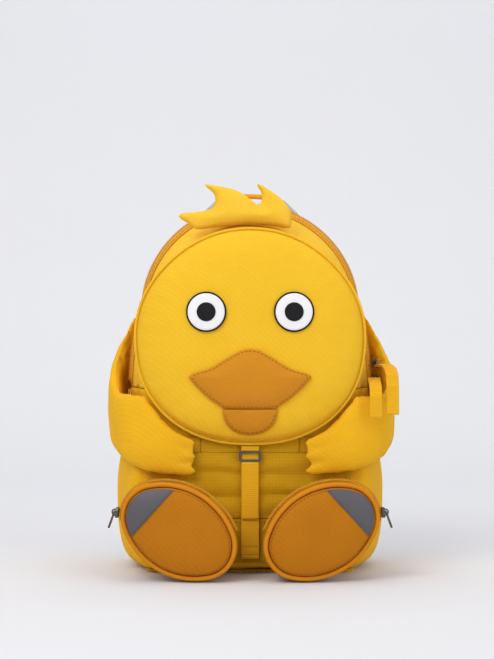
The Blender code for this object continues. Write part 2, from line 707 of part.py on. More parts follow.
# Closing strap: webbing, tail, metal buckle and tab on one pivot at the foot of the strap
strap_back_y = POCKET_FRONT_Y - GAP
strap_mid_y = strap_back_y - 0.5 * STRAP_THICKNESS
strap_pivot = empty("strap_pivot", (0.0, strap_mid_y - STRAP_THICKNESS, STRAP_FOOT_Z))
buckle_top_z = FACE_LOW_Z - BUCKLE_DROP
buckle_low_z = buckle_top_z - BUCKLE_HEIGHT
strap_rise = buckle_low_z - GAP - STRAP_FOOT_Z
strap_run = [Vector((0.0, strap_mid_y, STRAP_FOOT_Z + strap_rise * k / 6)) for k in range(7)]
add("front_strap", ribbon(strap_run, STRAP_WIDTH, STRAP_THICKNESS, (1, 0, 0)), "Yellow_Webbing", strap_pivot)
tail_y = strap_back_y - STRAP_THICKNESS - GAP - 0.4 * STRAP_THICKNESS
tail_top = buckle_low_z - GAP
tail_run = [Vector((0.0, tail_y, tail_top - (tail_top - POCKET_LOW_Z) * k / 4)) for k in range(5)]
tail_mesh = ribbon(tail_run, STRAP_WIDTH - 0.001, 0.8 * STRAP_THICKNESS, (1, 0, 0))
add("strap_tail", tail_mesh, "Yellow_Webbing", strap_pivot)
bar = 0.0018
hole = round_box(BUCKLE_WIDTH - 2 * bar, BUCKLE_HEIGHT - 2 * bar, 0.0008, 2)
buckle_rim = round_box(BUCKLE_WIDTH, BUCKLE_HEIGHT, 0.0016)
buckle_mesh = flat_piece(buckle_rim, [list(reversed(hole))], BUCKLE_THICKNESS)
upright = Matrix.Rotation(math.pi / 2, 4, "X")
buckle_y = strap_back_y - STRAP_THICKNESS
buckle_mesh.transform(Matrix.Translation((0.0, buckle_y, 0.5 * (buckle_top_z + buckle_low_z))) @ upright)
add("strap_buckle", buckle_mesh, "Gunmetal", strap_pivot)
tab_top = FACE_LOW_Z - FACE_PIPING_RADIUS * 2 - 4 * GAP
tab_low = buckle_top_z + GAP
tab_run = [Vector((0.0, strap_mid_y, tab_low + (tab_top - tab_low) * k)) for k in (0.0, 0.5, 1.0)]
add("strap_tab", ribbon(tab_run, STRAP_WIDTH, STRAP_THICKNESS, (1, 0, 0)), "Yellow_Webbing", strap_pivot)

# Wings: padded flaps sewn to the sides behind the zip and wrapped to the front
WING_PLAN = [(0.002, 0.024), (0.0130, -0.012), (0.0070, -0.048)]
WING_EDGES = [(0.0, 0.222, 0.130), (0.10, 0.212, 0.121), (0.17, 0.186, 0.116), (0.25, 0.178, 0.112)]
WING_EDGES += [(0.4, 0.159, 0.104), (0.5, 0.152, 0.098), (0.66, 0.1505, 0.089), (0.75, 0.1485, 0.086)]
WING_EDGES += [(0.80, 0.1410, 0.0852), (0.88, 0.1285, 0.0838), (0.94, 0.1210, 0.0825), (1.0, 0.1165, 0.081)]


def wing_edges(u):
    """Top and bottom of the wing at a share of its length."""
    for (a, top_a, low_a), (b, top_b, low_b) in zip(WING_EDGES, WING_EDGES[1:]):
        if u <= b:
            t = (u - a) / (b - a)
            return top_a + (top_b - top_a) * t, low_a + (low_b - low_a) * t
    return WING_EDGES[-1][1:]


wing_pivots = {}
for side, word in ((-1, "left"), (1, "right")):
    hand_y = POCKET_FRONT_Y - 2 * GAP - 0.5 * WING_THICKNESS
    room = WING_SLIDER_ROOM if side > 0 else 0.0
    plan = [Vector((ARCH_HALF_WIDTH + x + room * (k > 0), y, 0.0)) for k, (x, y) in enumerate(WING_PLAN)]
    plan += [Vector((POCKET_HALF_WIDTH + 0.004, hand_y + 0.002, 0.0)), Vector((0.054, hand_y, 0.0))]
    run = spline(plan, 4)
    rings = []
    for i, point in enumerate(run):
        u = i / (len(run) - 1)
        top, low = wing_edges(u)
        along = (run[min(i + 1, len(run) - 1)] - run[max(i - 1, 0)]).normalized()
        out = Vector((-along.y, along.x, 0.0))
        out = out if out.dot(Vector((1.0, -1.0, 0.0))) > 0 else -out
        fat = WING_THICKNESS * min(1.0, 0.5 + 2.0 * u) * (0.25 if i == len(run) - 1 else 1.0)
        fat *= 0.75 if i == len(run) - 2 else 1.0
        ring = []
        for sheet in (1, -1):
            for k in range(12):
                v = k / 12 if sheet == 1 else 1 - k / 12
                lobe = WING_FINGER * abs(math.sin(3 * math.pi * v)) * max(0, i - len(run) + 3) / 2
                half = 0.5 * fat * (0.12 + 0.88 * (1 - abs(2 * v - 1) ** 3) ** 0.5)
                spot = point + along * lobe + out * half * sheet
                ring.append((side * spot.x, spot.y, low + (top - low) * v))
        rings.append(ring)
    wing_pivots[side] = empty(word + "_wing_pivot", (side * plan[0].x, plan[0].y, ARCH_START_Z))
    wing = add(word + "_wing", loft(rings), "Yellow_Twill", wing_pivots[side])
    boolean(wing, whole, "DIFFERENCE")

# Main zip sliders at the lower right end of the arch, with metal pulls and webbing tabs
slider_off = 1.5 * GAP + TAPE_THICKNESS + COIL_HEIGHT + 2 * GAP


def on_side(z, off):
    """A place off the bag's right side arc, with the arc's tangent and outward direction."""
    out = Vector((half_width(z) - SIDE_CENTRE_X, 0.0, z - ARCH_START_Z)).normalized()
    place = Vector((SIDE_CENTRE_X, ZIP_Y + 0.5 * SEAM_GAP, ARCH_START_Z)) + out * (SIDE_RADIUS + off)
    return frame_matrix(place, Vector((-out.z, 0.0, out.x)), out)


LOW_SLIDER_Z = ZIP_END_Z + 0.006
HIGH_SLIDER_Z = LOW_SLIDER_Z + SLIDER_LENGTH + 0.0055
slider_pivot = empty("main_slider_pivot", (SIDE_CENTRE_X, ZIP_Y, ARCH_START_Z))
high_frame, low_frame = on_side(HIGH_SLIDER_Z, slider_off), on_side(LOW_SLIDER_Z, slider_off)
MAIN_PULL_SWING, END_PULL_SWING = math.radians(-78.0), math.radians(-86.0)
slider("main_slider", high_frame, slider_pivot, True)
slider("end_slider", low_frame, None, True)
pull_pivots = {}
for word, frame_at, above in (("main", high_frame, slider_pivot), ("end", low_frame, None)):
    hinge_at = frame_at @ Vector((0.0, 0.0, PULL_RISE))
    base = pivot_place(above).translation if above else Vector((0.0, 0.0, 0.0))
    pull_pivots[word] = empty(word + "_pull_pivot", hinge_at - base, above)
    swing = Matrix.Rotation(MAIN_PULL_SWING if word == "main" else END_PULL_SWING, 4, "Z")
    turned = frame_at @ Matrix.Translation((0, 0, PULL_RISE)) @ swing @ Matrix.Translation((0, 0, -PULL_RISE))
    add(word + "_pull", pull_mesh(turned, 0.0, True), "Gunmetal", pull_pivots[word])
    foot = turned @ Vector((0.0, -PULL_LENGTH + 0.0026 - 3 * GAP, PULL_RISE))
    if word == "main":
        path = [foot, (0.1150, -0.038, 0.1740), (0.1175, -0.070, 0.166), (0.1175, -0.0785, 0.134)]
    else:
        path = [foot, (0.1043, -0.040, 0.1628), (0.1036, -0.076, 0.1558), (0.1032, -0.0825, 0.1315)]
    widths = [TAB_WIDTH * min(1.0, 0.6 + 0.2 * k) for k in range(10)]
    tab_mesh = ribbon(spline(path, 3), TAB_WIDTH, TAB_THICKNESS, (1, 0, 0), widths)
    add(word + "_pull_tab", tab_mesh, "Yellow_Webbing", pull_pivots[word])


# Feet: zipped pockets, each with a shell, a hinged cover, piping, patch, zip, slider and pull
def foot_oval(draw, steps=10):
    """Four-arc oval drawn in by an amount: round ends joined by long arcs."""
    length, height, end = FOOT_HALF_LENGTH - draw, FOOT_HALF_HEIGHT - draw, FOOT_END_RADIUS - draw
    centre = length - end
    long = (centre**2 + height**2 - end**2) / (2 * (height - end))
    join = math.atan2(centre, long - height)
    run = []
    for k in range(steps + 1):
        turn = -(0.5 * math.pi - join) + (math.pi - 2 * join) * k / steps
        run.append((centre + end * math.cos(turn), end * math.sin(turn)))
    for k in range(1, steps):
        turn = 0.5 * math.pi - join + 2 * join * k / steps
        run.append((long * math.cos(turn), height - long + long * math.sin(turn)))
    return run + [(-x, -z) for x, z in run]


FOOT_LEAN = math.hypot(FOOT_HALF_LENGTH * math.sin(FOOT_TILT), FOOT_HALF_HEIGHT * math.cos(FOOT_TILT))
FOOT_Z = FOOT_LEAN + 0.0006
FOOT_DEEP = POCKET_FRONT_Y - FOOT_FRONT_Y
foot_wall_y = POCKET_FRONT_Y - 2 * GAP
foot_stop = cutter("foot_stop", box_mesh((-0.3, foot_wall_y, -0.1), (0.3, 0.2, 0.3)))
foot_inner_stop = cutter("foot_inner_stop", box_mesh((-0.3, foot_wall_y - WALL, -0.1), (0.3, 0.2, 0.3)))
foot_pivots = {}
for side, word in ((-1, "left"), (1, "right")):
    turn = Matrix.Rotation(side * FOOT_YAW, 4, "Z") @ Matrix.Rotation(-side * FOOT_TILT, 4, "Y")
    place = Matrix.Translation((side * FOOT_SPREAD, FOOT_FRONT_Y, FOOT_Z)) @ turn
    frame = empty(word + "_foot_frame", (side * FOOT_SPREAD, FOOT_FRONT_Y, FOOT_Z), None, turn)
    rim = COVER_DEPTH + SEAM_GAP
    reach = FOOT_DEEP * 1.6
    rings = []
    for y, draw in ((rim, 0.0), (0.5 * FOOT_DEEP, 0.002), (reach, FOOT_BACK_TAPER)):
        rings.append([(x * side, y, z) for x, z in foot_oval(draw)])
    shell = add(word + "_foot_shell", loft(rings), "Ochre_Ripstop", frame, True)
    boolean(shell, foot_stop, "DIFFERENCE")
    hollow = []
    for y, draw in ((0.5 * rim, WALL), (0.5 * FOOT_DEEP, WALL + 0.002), (reach, WALL + FOOT_BACK_TAPER)):
        hollow.append([(x * side, y, z) for x, z in foot_oval(draw)])
    hollow_cut = cutter(word + "_foot_hollow", loft(hollow), place)
    boolean(hollow_cut, foot_inner_stop, "DIFFERENCE")
    boolean(shell, hollow_cut, "DIFFERENCE")

    zip_low, zip_in = -0.45 * FOOT_HALF_HEIGHT, -0.8 * FOOT_HALF_LENGTH
    tape_run = [i for i, (x, z) in enumerate(foot_oval(0.0)) if z > zip_low and x > zip_in]
    ordered = sorted(tape_run, key=lambda i: math.atan2(foot_oval(0.0)[i][1], foot_oval(0.0)[i][0]))
    rings = []
    for i in ordered:
        corners = []
        for y, draw in ((0.0002, -2 * GAP), (0.006, -3 * GAP), (0.006, -0.0017), (0.0002, -0.0017)):
            x, z = foot_oval(draw)[i]
            corners.append((x * side, rim + y, z))
        rings.append(corners)
    add(word + "_foot_zip", loft(rings), "Orange_Twill", frame, True)

    hinge_local = Vector((0.0, COVER_DEPTH, -FOOT_HALF_HEIGHT))
    cover_pivot = empty(word + "_cover_pivot", hinge_local, frame)
    foot_pivots[side] = cover_pivot
    steps = [(0.0006, COVER_DEPTH), (0.0, COVER_DEPTH - 0.0006), (0.0, 2 * PIPING_RADIUS + 0.0014)]
    steps += [(FOOT_PANEL_STEP, 2 * PIPING_RADIUS + 0.0012), (FOOT_PANEL_STEP, 0.0004)]
    steps += [(FOOT_PANEL_STEP + 0.002, -0.0012)]
    steps.append((FOOT_PANEL_STEP + 0.006, -0.0018))
    rings = []
    for draw, y in steps:
        rings.append([(x * side, y - COVER_DEPTH, z + FOOT_HALF_HEIGHT) for x, z in foot_oval(draw)])
    add(word + "_foot_cover", loft(rings), "Ochre_Ripstop", cover_pivot, True)
    centre_y = PIPING_RADIUS + 0.0006
    cord_y = centre_y - COVER_DEPTH
    cord = [Vector((x * side, cord_y, z + FOOT_HALF_HEIGHT)) for x, z in foot_oval(PIPING_RADIUS + 0.0001)]
    add(word + "_foot_piping", tube(cord, PIPING_RADIUS - 0.0001, True), "Orange_Twill", cover_pivot, True)

    inner = foot_oval(FOOT_PANEL_STEP + 0.0065, 12)
    patch_x = REFLECTOR_START * FOOT_HALF_LENGTH
    patch = [p for p in inner if p[0] + REFLECTOR_LEAN * p[1] > patch_x]
    patch.sort(key=lambda p: math.atan2(p[1], p[0] - patch_x))
    rings = []
    for y in (-0.0018 - GAP, -0.0018 - GAP - REFLECTOR_THICKNESS):
        rings.append([(x * side, y - COVER_DEPTH, z + FOOT_HALF_HEIGHT) for x, z in patch])
    add(word + "_reflector", loft(rings), "Grey_Reflective", cover_pivot, True)

    end_x = FOOT_HALF_LENGTH - FOOT_END_RADIUS
    run_pivot = empty(word + "_foot_slider_pivot", (side * end_x, rim, 0.0), frame)
    off = 0.0017 + 2 * GAP
    away = Vector((side * math.cos(-0.42), 0.0, math.sin(-0.42)))
    along = Vector((-side * math.sin(-0.42), 0.0, math.cos(-0.42)))
    spot = Vector((side * end_x, rim - 0.0003, 0.0)) + away * (FOOT_END_RADIUS + off)
    seat = frame_matrix(spot, along, away)
    slider(word + "_foot_slider", place @ seat, run_pivot)
    pin = seat @ Vector((0.0, 0.0, PULL_RISE))
    pull_pivot = empty(word + "_foot_pull_pivot", pin - Vector((side * end_x, rim, 0.0)), run_pivot)
    pull_pivots[word] = pull_pivot
    add(word + "_foot_pull", pull_mesh(place @ seat, math.radians(-14.0)), "Gunmetal", pull_pivot)

# Grab handle at the top of the back
handle_y = BACK_Y - HANDLE_SETBACK
foot_z = TOP_CENTRE_Z + math.sqrt(TOP_RADIUS**2 - HANDLE_HALF_SPAN**2) - 0.004
arc = []
for k in range(13):
    turn = math.pi * k / 12
    rise = HANDLE_RISE * math.sin(turn) ** 0.7
    arc.append(Vector((-HANDLE_HALF_SPAN * math.cos(turn), handle_y, foot_z + rise)))
grip = [p for p in arc if abs(p.x) <= HANDLE_HALF_SPAN - SLEEVE_LENGTH]
handle_pivot = empty("handle_pivot", (0.0, handle_y, grip[0].z))
add("handle_grip", ribbon(grip, HANDLE_WIDTH, HANDLE_THICKNESS, (0, 1, 0)), "Yellow_Webbing", handle_pivot)
for side, word in ((-1, "left"), (1, "right")):
    near = min(grip, key=lambda p: (p - Vector((side * HANDLE_HALF_SPAN, handle_y, foot_z))).length)
    end = Vector((side * HANDLE_HALF_SPAN, handle_y, foot_z))
    gap_step = (end - near).normalized() * 6 * GAP
    run = [near + gap_step, 0.5 * (near + end) + Vector((0.0, 0.0, 0.002)), end]
    sleeve_mesh = ribbon(run, HANDLE_WIDTH, HANDLE_THICKNESS, (0, 1, 0))
    sleeve = add(word + "_handle_end", sleeve_mesh, "Grey_Reflective")
    boolean(sleeve, whole, "DIFFERENCE")

# Shoulder straps with ladder locks and webbing, each on a line through its two anchors
strap_y = BACK_PAD_Y + BACK_PAD_THICKNESS + 0.0075
for side, word in ((-1, "left"), (1, "right")):
    top = Vector((side * STRAP_TOP_X, strap_y, STRAP_TOP_Z))
    low = Vector((side * STRAP_LOW_X, strap_y, STRAP_LOW_Z))
    pivot = empty(word + "_strap_pivot", 0.5 * (top + low))

    def hang(share, bow):
        """A place along the strap, bowed off the back."""
        return top.lerp(low, share) + Vector((0.0, STRAP_BOW * bow, 0.0))

    pad_places = [hang(0.0, 0.0), hang(0.08, 0.52), hang(0.30, 1.0), hang(0.52, 0.98), hang(0.68, 0.72)]
    pad_run = spline(pad_places, 3)
    widths = [0.020 + (SHOULDER_WIDTH - 0.020) * min(1.0, 3.5 * k / 12) for k in range(13)]
    widths[-1] = 0.8 * SHOULDER_WIDTH
    pad_mesh = ribbon(pad_run, SHOULDER_WIDTH, SHOULDER_THICKNESS, (1, 0, 0), widths)
    add(word + "_shoulder_strap", pad_mesh, "Grey_Mesh", pivot)
    lean = (hang(0.76, 0.55) - hang(0.68, 0.72)).normalized()
    lock_mid = hang(0.68, 0.72) + lean * (0.010 + 2 * GAP)
    lock_at = frame_matrix(lock_mid, -lean, (0, 1, 0))
    window = [(x, y) for x, y in round_box(WEBBING_WIDTH + 0.001, 0.004, 0.0012, 2)]
    holes = [list(reversed([(x, y + step) for x, y in window])) for step in (0.0045, -0.0045)]
    lock = flat_piece(round_box(WEBBING_WIDTH + 0.008, 0.020, 0.003), holes, 0.004)
    lock.transform(lock_at)
    add(word + "_ladder_lock", lock, "Grey_Plastic", pivot)
    start = lock_mid + lean * (0.010 + 2 * GAP)
    web_run = spline([start, hang(0.88, 0.26), hang(0.99, 0.0)], 4)
    web_mesh = ribbon(web_run, WEBBING_WIDTH, WEBBING_THICKNESS, (1, 0, 0))
    add(word + "_lower_webbing", web_mesh, "Yellow_Webbing", pivot)
    block = box_mesh((low.x - 0.003, BACK_PAD_Y + BACK_PAD_THICKNESS + GAP, low.z - 0.003),
                     (low.x + 0.003, strap_y - 0.5 * WEBBING_THICKNESS - 3 * GAP, low.z + 0.003))
    add(word + "_strap_anchor", block, "Yellow_Webbing")
yoke_low, yoke_high = STRAP_TOP_Z - 0.002, STRAP_TOP_Z + 0.010
yoke_y, yoke_reach = BACK_PAD_Y + BACK_PAD_THICKNESS + GAP, STRAP_TOP_X + 0.012
yoke_mesh = box_mesh((-yoke_reach, yoke_y, yoke_low), (yoke_reach, yoke_y + 0.0016, yoke_high))
yoke = add("strap_yoke", yoke_mesh, "Yellow_Webbing")
for side, word in ((-1, "left"), (1, "right")):
    post_x, post_y = side * STRAP_TOP_X, strap_y - 0.5 * SHOULDER_THICKNESS - 2 * GAP
    post_low, post_high = yoke_low + 0.001, yoke_high - 0.001
    post = box_mesh((post_x - 0.003, yoke_y + GAP, post_low), (post_x + 0.003, post_y, post_high))
    boolean(yoke, cutter(word + "_yoke_post", post), "UNION")
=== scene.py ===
"""Dresses the duck backpack's solids in sewn cloth, webbing, zips and metal, and sets the studio.

Laid out as a Blender add-on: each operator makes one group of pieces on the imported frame, in metres.
"""

import math

import bmesh
import bpy
from mathutils import Matrix, Vector, noise


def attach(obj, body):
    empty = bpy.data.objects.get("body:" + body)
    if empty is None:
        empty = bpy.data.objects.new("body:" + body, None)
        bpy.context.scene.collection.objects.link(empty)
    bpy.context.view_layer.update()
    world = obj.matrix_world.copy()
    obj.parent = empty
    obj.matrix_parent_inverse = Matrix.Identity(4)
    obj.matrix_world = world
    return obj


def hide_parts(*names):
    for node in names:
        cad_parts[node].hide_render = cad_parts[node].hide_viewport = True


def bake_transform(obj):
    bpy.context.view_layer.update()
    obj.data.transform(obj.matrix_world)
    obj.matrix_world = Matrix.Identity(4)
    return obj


bl_info = {
    "name": "Duck Backpack Dressing",
    "version": (1, 0, 0),
    "blender": (4, 5, 0),
    "location": "View3D > Sidebar > Backpack",
    "description": "Sewn cloth, stitches, zips and studio for the packed backpack frame",
    "category": "Object",
}

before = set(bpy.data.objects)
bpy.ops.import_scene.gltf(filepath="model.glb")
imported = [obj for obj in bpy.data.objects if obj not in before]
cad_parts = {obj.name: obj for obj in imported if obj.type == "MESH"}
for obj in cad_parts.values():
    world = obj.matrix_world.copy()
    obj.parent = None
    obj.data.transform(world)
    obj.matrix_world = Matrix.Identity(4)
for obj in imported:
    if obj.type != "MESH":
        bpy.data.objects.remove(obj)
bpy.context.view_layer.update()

# Sizes repeated from the solids, in metres
GAP = 0.0003
SEAM_GAP = 0.0006
BAG_HEIGHT = 0.310
ARCH_START_Z = 0.150
ARCH_HALF_WIDTH = 0.1026
SHOULDER_TAPER = 0.0106
BELLY_HALF_WIDTH = 0.114
BELLY_Z = 0.070
BASE_HALF_WIDTH = 0.088
Z0 = 0.0028
FRONT_Y = -0.061
BACK_Y = 0.050
BACK_ROUND = 0.012
FRONT_ROUND = 0.014
LID_TAPER_SIDE = 0.010
LID_TAPER_TOP = 0.018
TOP_RADIUS = ARCH_HALF_WIDTH - SHOULDER_TAPER
TOP_CENTRE_Z = BAG_HEIGHT - TOP_RADIUS
ARCH_DROP = TOP_CENTRE_Z - ARCH_START_Z
SIDE_RADIUS = (ARCH_HALF_WIDTH**2 + ARCH_DROP**2 - TOP_RADIUS**2) / (2 * SHOULDER_TAPER)
SIDE_CENTRE_X = ARCH_HALF_WIDTH - SIDE_RADIUS
ZIP_Y = -0.008
ZIP_END_Z = 0.155
TAPE_WIDTH = 0.010
TONGUE_HALF_WIDTH = 0.036
# The dressed face is drawn in a little from its solid
FACE_HALF_WIDTH = 0.0932
FACE_HALF_HEIGHT = 0.0875
FACE_POWER = 2.25
FACE_SHOULDER = 0.05
FACE_TOP_Z = 0.286
FACE_Z = FACE_TOP_Z - FACE_HALF_HEIGHT
FACE_LOW_Z = FACE_Z - FACE_HALF_HEIGHT
FACE_BACK_Y = FRONT_Y - GAP
FACE_EDGE_DEPTH = 0.0065
FACE_RIM_Y = FACE_BACK_Y - FACE_EDGE_DEPTH
FACE_BULGE = 0.019
LID_AXIS_Z = FACE_LOW_Z - 0.008
POCKET_HALF_WIDTH = 0.084
POCKET_LOW_Z = 0.047
POCKET_TOP_Z = LID_AXIS_Z - 4 * GAP
POCKET_FRONT_Y = FRONT_Y - GAP - 0.0038
EYE_SPREAD = 0.036
EYE_RISE = 0.020
EYE_RIM_RADIUS = 0.0166
EYE_WHITE_RADIUS = 0.0152
PUPIL_RADIUS = 0.0078
BILL_HALF_WIDTH = 0.050
BILL_HEIGHT = 0.050
BILL_Z = FACE_Z - 0.0345
BILL_SHAPE = [(0.0, 0.475), (0.16, 0.445), (0.40, 0.31), (0.67, 0.15), (0.93, 0.07), (1.0, 0.02), (0.95, -0.06)]
BILL_SHAPE += [(0.81, -0.21), (0.66, -0.34), (0.53, -0.43), (0.44, -0.485), (0.25, -0.5), (0.0, -0.5)]
LIP_HALF_WIDTH = 0.0225
LIP_HEIGHT = 0.0215
LIP_TOP_Z = BILL_Z - 0.5 * BILL_HEIGHT - 2 * GAP
STRAP_WIDTH = 0.0150
STRAP_THICKNESS = 0.0022
STRAP_FOOT_Z = 0.014
BUCKLE_TOP_Z = FACE_LOW_Z - 0.008
BUCKLE_LOW_Z = BUCKLE_TOP_Z - 0.0085
FOOT_HALF_LENGTH = 0.0505
FOOT_HALF_HEIGHT = 0.0365
FOOT_END_RADIUS = 0.028
FOOT_TILT = math.radians(30.0)
FOOT_YAW = math.radians(5.0)
FOOT_BACK_TAPER = 0.012
FOOT_SPREAD = 0.0580
FOOT_FRONT_Y = -0.113
FOOT_PANEL_STEP = 0.0046
FOOT_LEAN = math.hypot(FOOT_HALF_LENGTH * math.sin(FOOT_TILT), FOOT_HALF_HEIGHT * math.cos(FOOT_TILT))
FOOT_Z = FOOT_LEAN + 0.0006
FOOT_WALL_Y = POCKET_FRONT_Y - 2 * GAP
COVER_DEPTH = 0.0095
REFLECTOR_START = 0.51
REFLECTOR_LEAN = 0.22
PIPING_RADIUS = 0.0021
BACK_PAD_Y = BACK_Y + GAP
BACK_PAD_THICKNESS = 0.009
HANDLE_Y = BACK_Y - 0.002
HANDLE_HALF_SPAN = 0.054
HANDLE_WIDTH = 0.014
SLEEVE_LENGTH = 0.016
STRAP_BOW = 0.040
SHOULDER_WIDTH = 0.042
SHOULDER_THICKNESS = 0.009
WEBBING_WIDTH = 0.020
STRAP_Y = BACK_PAD_Y + BACK_PAD_THICKNESS + 0.0075
SOLID_HANDLE_RISE = 0.029
SHOULDER_NECK_WIDTH = 0.020
SHOULDER_TOP_X, SHOULDER_TOP_Z = 0.034, 0.268
SHOULDER_LOW_X, SHOULDER_LOW_Z = 0.078, 0.034
LADDER_LOCK_LENGTH = 0.020
LOWER_WEBBING_THICKNESS = 0.0018
BILL_THICKNESS = 0.0065
BILL_EDGE_THICKNESS = 0.0020
LIP_THICKNESS = 0.003

# Sizes of the dressing alone, in metres
BAG_MIDDLE_Z = 0.15
QUILT_CHANNEL_REACH = 0.0042
TUFT_SWELL_CAP = 0.0030
WING_SWELL_CAP = 0.0012
BINDING_RADIUS = 0.0013
WELT_RADIUS = 0.0012
HANDLE_RISE = 0.034
HANDLE_THICKNESS = 0.004
WING_TUCK = 0.0025
WING_ROOT_LOW_Z = 0.132
WING_ROOT_TOP_Z = 0.219
WING_ROOT_Y = 0.0262
BELLY_STRIP_HALF_WIDTH = 0.041
LOWER_PANEL_HALF_WIDTH = 0.080
LOWER_PANEL_LOW_Z = 0.010
CLOTH_THICKNESS = 0.0024
REFLECTOR_DRAW = 0.0054
SWEEP_REACH = 12.0
SWEEP_BEND_Y = 0.9
SWEEP_BEND_RADIUS = 0.7
SWEEP_TOP_Z = 3.0
CAMERA_PLACE = (-0.0026, -1.6, 0.204)
SENSOR_HEIGHT_MM = 24.0
FOCAL_LENGTH_MM = 1849.0 / 659.0 * SENSOR_HEIGHT_MM
LAMP_AIM = Vector((0.0, 0.0, 0.15))
SIDES = ((-1, "left"), (1, "right"))

# Colours as they look in the photograph
YELLOW = "F2B91A"
YELLOW_SHADE = "E0A10C"
FACE_YELLOW = "F3C22A"
FACE_SHADE = "E6AE16"
PALE_YELLOW = "F6C63A"
ORANGE = "D38B1C"
ORANGE_SHADE = "C67C14"
OCHRE = "CD9A06"
OCHRE_SHADE = "A87C06"
FOOT = "BF7504"
FOOT_SHADE = "A56402"
PIPING = "D98A12"
ZIP_TAPE = "E2A12C"
GREY = "5B595D"
SILVER = "B9B7B6"
WEBBING = "E9B016"
THREAD_DARK = "8A5A12"
THREAD_GOLD = "C48A10"
BACKDROP = "E2E3E7"


def linear(code):
    """A hex colour as the shader's linear red, green, blue and alpha."""
    parts = [int(code[i:i + 2], 16) / 255 for i in (0, 2, 4)]
    return [p / 12.92 if p <= 0.04045 else ((p + 0.055) / 1.055) ** 2.4 for p in parts] + [1.0]


# Settings
def colour_setting(label, words, code):
    """A colour that a user may change; its default is a hex value."""
    return bpy.props.FloatVectorProperty(name=label, description=words, default=linear(code), size=4, min=0.0,
                                         max=1.0, subtype="COLOR")


def length_setting(label, words, size):
    """A length in metres that a user may change."""
    return bpy.props.FloatProperty(name=label, description=words, default=size, min=0.0001, max=0.2,
                                   precision=5, subtype="DISTANCE", unit="LENGTH")


class BackpackSettings(bpy.types.PropertyGroup):
    """Sizes and colours of the dressing."""

    yellow: colour_setting("Bag yellow", "Twill of the bag, the wings and the bindings", YELLOW)
    face_yellow: colour_setting("Face yellow", "Twill of the padded face", FACE_YELLOW)
    pale_yellow: colour_setting("Lid yellow", "Twill of the lid and the tuft", PALE_YELLOW)
    orange: colour_setting("Bill orange", "Twill of the bill and its lip", ORANGE)
    ochre: colour_setting("Belly ochre", "Ripstop and plain nylon of the belly", OCHRE)
    foot: colour_setting("Foot orange", "Twill of the feet", FOOT)
    piping: colour_setting("Piping", "Fabric round the feet's cord edges", PIPING)
    zip_tape: colour_setting("Zip tape", "Knit of the zip tapes", ZIP_TAPE)
    webbing: colour_setting("Webbing", "Weave of the straps and the handle", WEBBING)
    grey: colour_setting("Reflective grey", "Reflective corners of the feet", GREY)
    silver: colour_setting("Sleeve silver", "Reflective sleeves of the handle", SILVER)
    backdrop: colour_setting("Backdrop", "Paper of the studio sweep", BACKDROP)
    stitch_pitch: length_setting("Stitch pitch", "From one stitch of a seam to the next", 0.0036)
    tooth_pitch: length_setting("Tooth pitch", "From one tooth of the main zip to the next", 0.0017)
    quilt_pitch: length_setting("Quilt pitch", "From one sewn channel of the back pad to the next", 0.052)
    quilt_depth: length_setting("Quilt depth", "How deep the back pad's channels are drawn in", 0.0042)
    belly_fold: length_setting("Belly folds", "How far the belly panel's folds stand out", 0.0023)
    bag_crumple: length_setting("Bag slack", "How far the bag's cloth sags between its seams", 0.0022)
    handle_rise: length_setting("Handle rise", "Height of the grab handle over its ends", HANDLE_RISE)
    tuft_pressure: bpy.props.FloatProperty(name="Tuft filling", description="Pressure that fills the tuft's cloth",
                                           default=5.0, min=0.0, max=20.0)
    wing_pressure: bpy.props.FloatProperty(name="Wing filling", description="Pressure that fills the wings' cloth",
                                           default=4.0, min=0.0, max=20.0)


def settings():
    """The scene's settings."""
    return bpy.context.scene.backpack_settings


# Materials
WAVE_UNIT = math.pi / 10
WEAR_SIZE = 0.030
WRINKLE_SIZE = 0.012

# Bands of each weave as share of its pitch, direction, sharpness and weight, with how they join
WEAVES = {
    "twill": ("MULTIPLY", ((1.0, "Z", 1.0, 1.0), (1.7, "DIAGONAL", 1.0, 1.0))),
    "ripstop": ("MAXIMUM", ((1.0, "X", 6.0, 1.0), (1.0, "Z", 6.0, 1.0), (0.25, "DIAGONAL", 1.0, 0.3))),
    "ribs_x": ("ADD", ((1.0, "X", 1.0, 1.0), (0.55, "Z", 1.0, 0.3))),
    "ribs_z": ("ADD", ((1.0, "Z", 1.0, 1.0), (0.55, "X", 1.0, 0.3))),
}


def add(tree, kind, fields, inputs):
    """Add one node: fields are its own settings, and each input takes a value or another node's socket."""
    made = tree.nodes.new(kind)
    for name, value in fields.items():
        setattr(made, name, value)
    for name, value in inputs.items():
        if isinstance(value, bpy.types.NodeSocket):
            tree.links.new(value, made.inputs[name])
        else:
            made.inputs[name].default_value = value
    return made


def start_material(name, rough, sheen=0.0, metal=0.0):
    """A new material with its node tree, shader and object coordinates."""
    made = bpy.data.materials.new(name)
    made.use_nodes = True
    tree = made.node_tree
    shader = tree.nodes["Principled BSDF"]
    shader.inputs["Roughness"].default_value = rough
    shader.inputs["Metallic"].default_value = metal
    shader.inputs["Sheen Weight"].default_value = sheen
    shader.inputs["Sheen Roughness"].default_value = 0.5
    shader.inputs["Specular IOR Level"].default_value = 0.5 if metal else 0.25
    place = add(tree, "ShaderNodeTexCoord", {}, {}).outputs["Object"]
    return made, tree, shader, place


def painted(tree, shader, share, colour, shade):
    """Colour the shader between two tones."""
    mix = add(tree, "ShaderNodeMix", {"data_type": "RGBA"}, {"Factor": share, "A": colour, "B": shade})
    tree.links.new(mix.outputs["Result"], shader.inputs["Base Color"])


def raised(tree, shader, height, strength, depth):
    """Let a height stand up as bump of a depth in metres."""
    bump = add(tree, "ShaderNodeBump", {}, {"Strength": strength, "Distance": depth, "Height": height})
    tree.links.new(bump.outputs["Normal"], shader.inputs["Normal"])


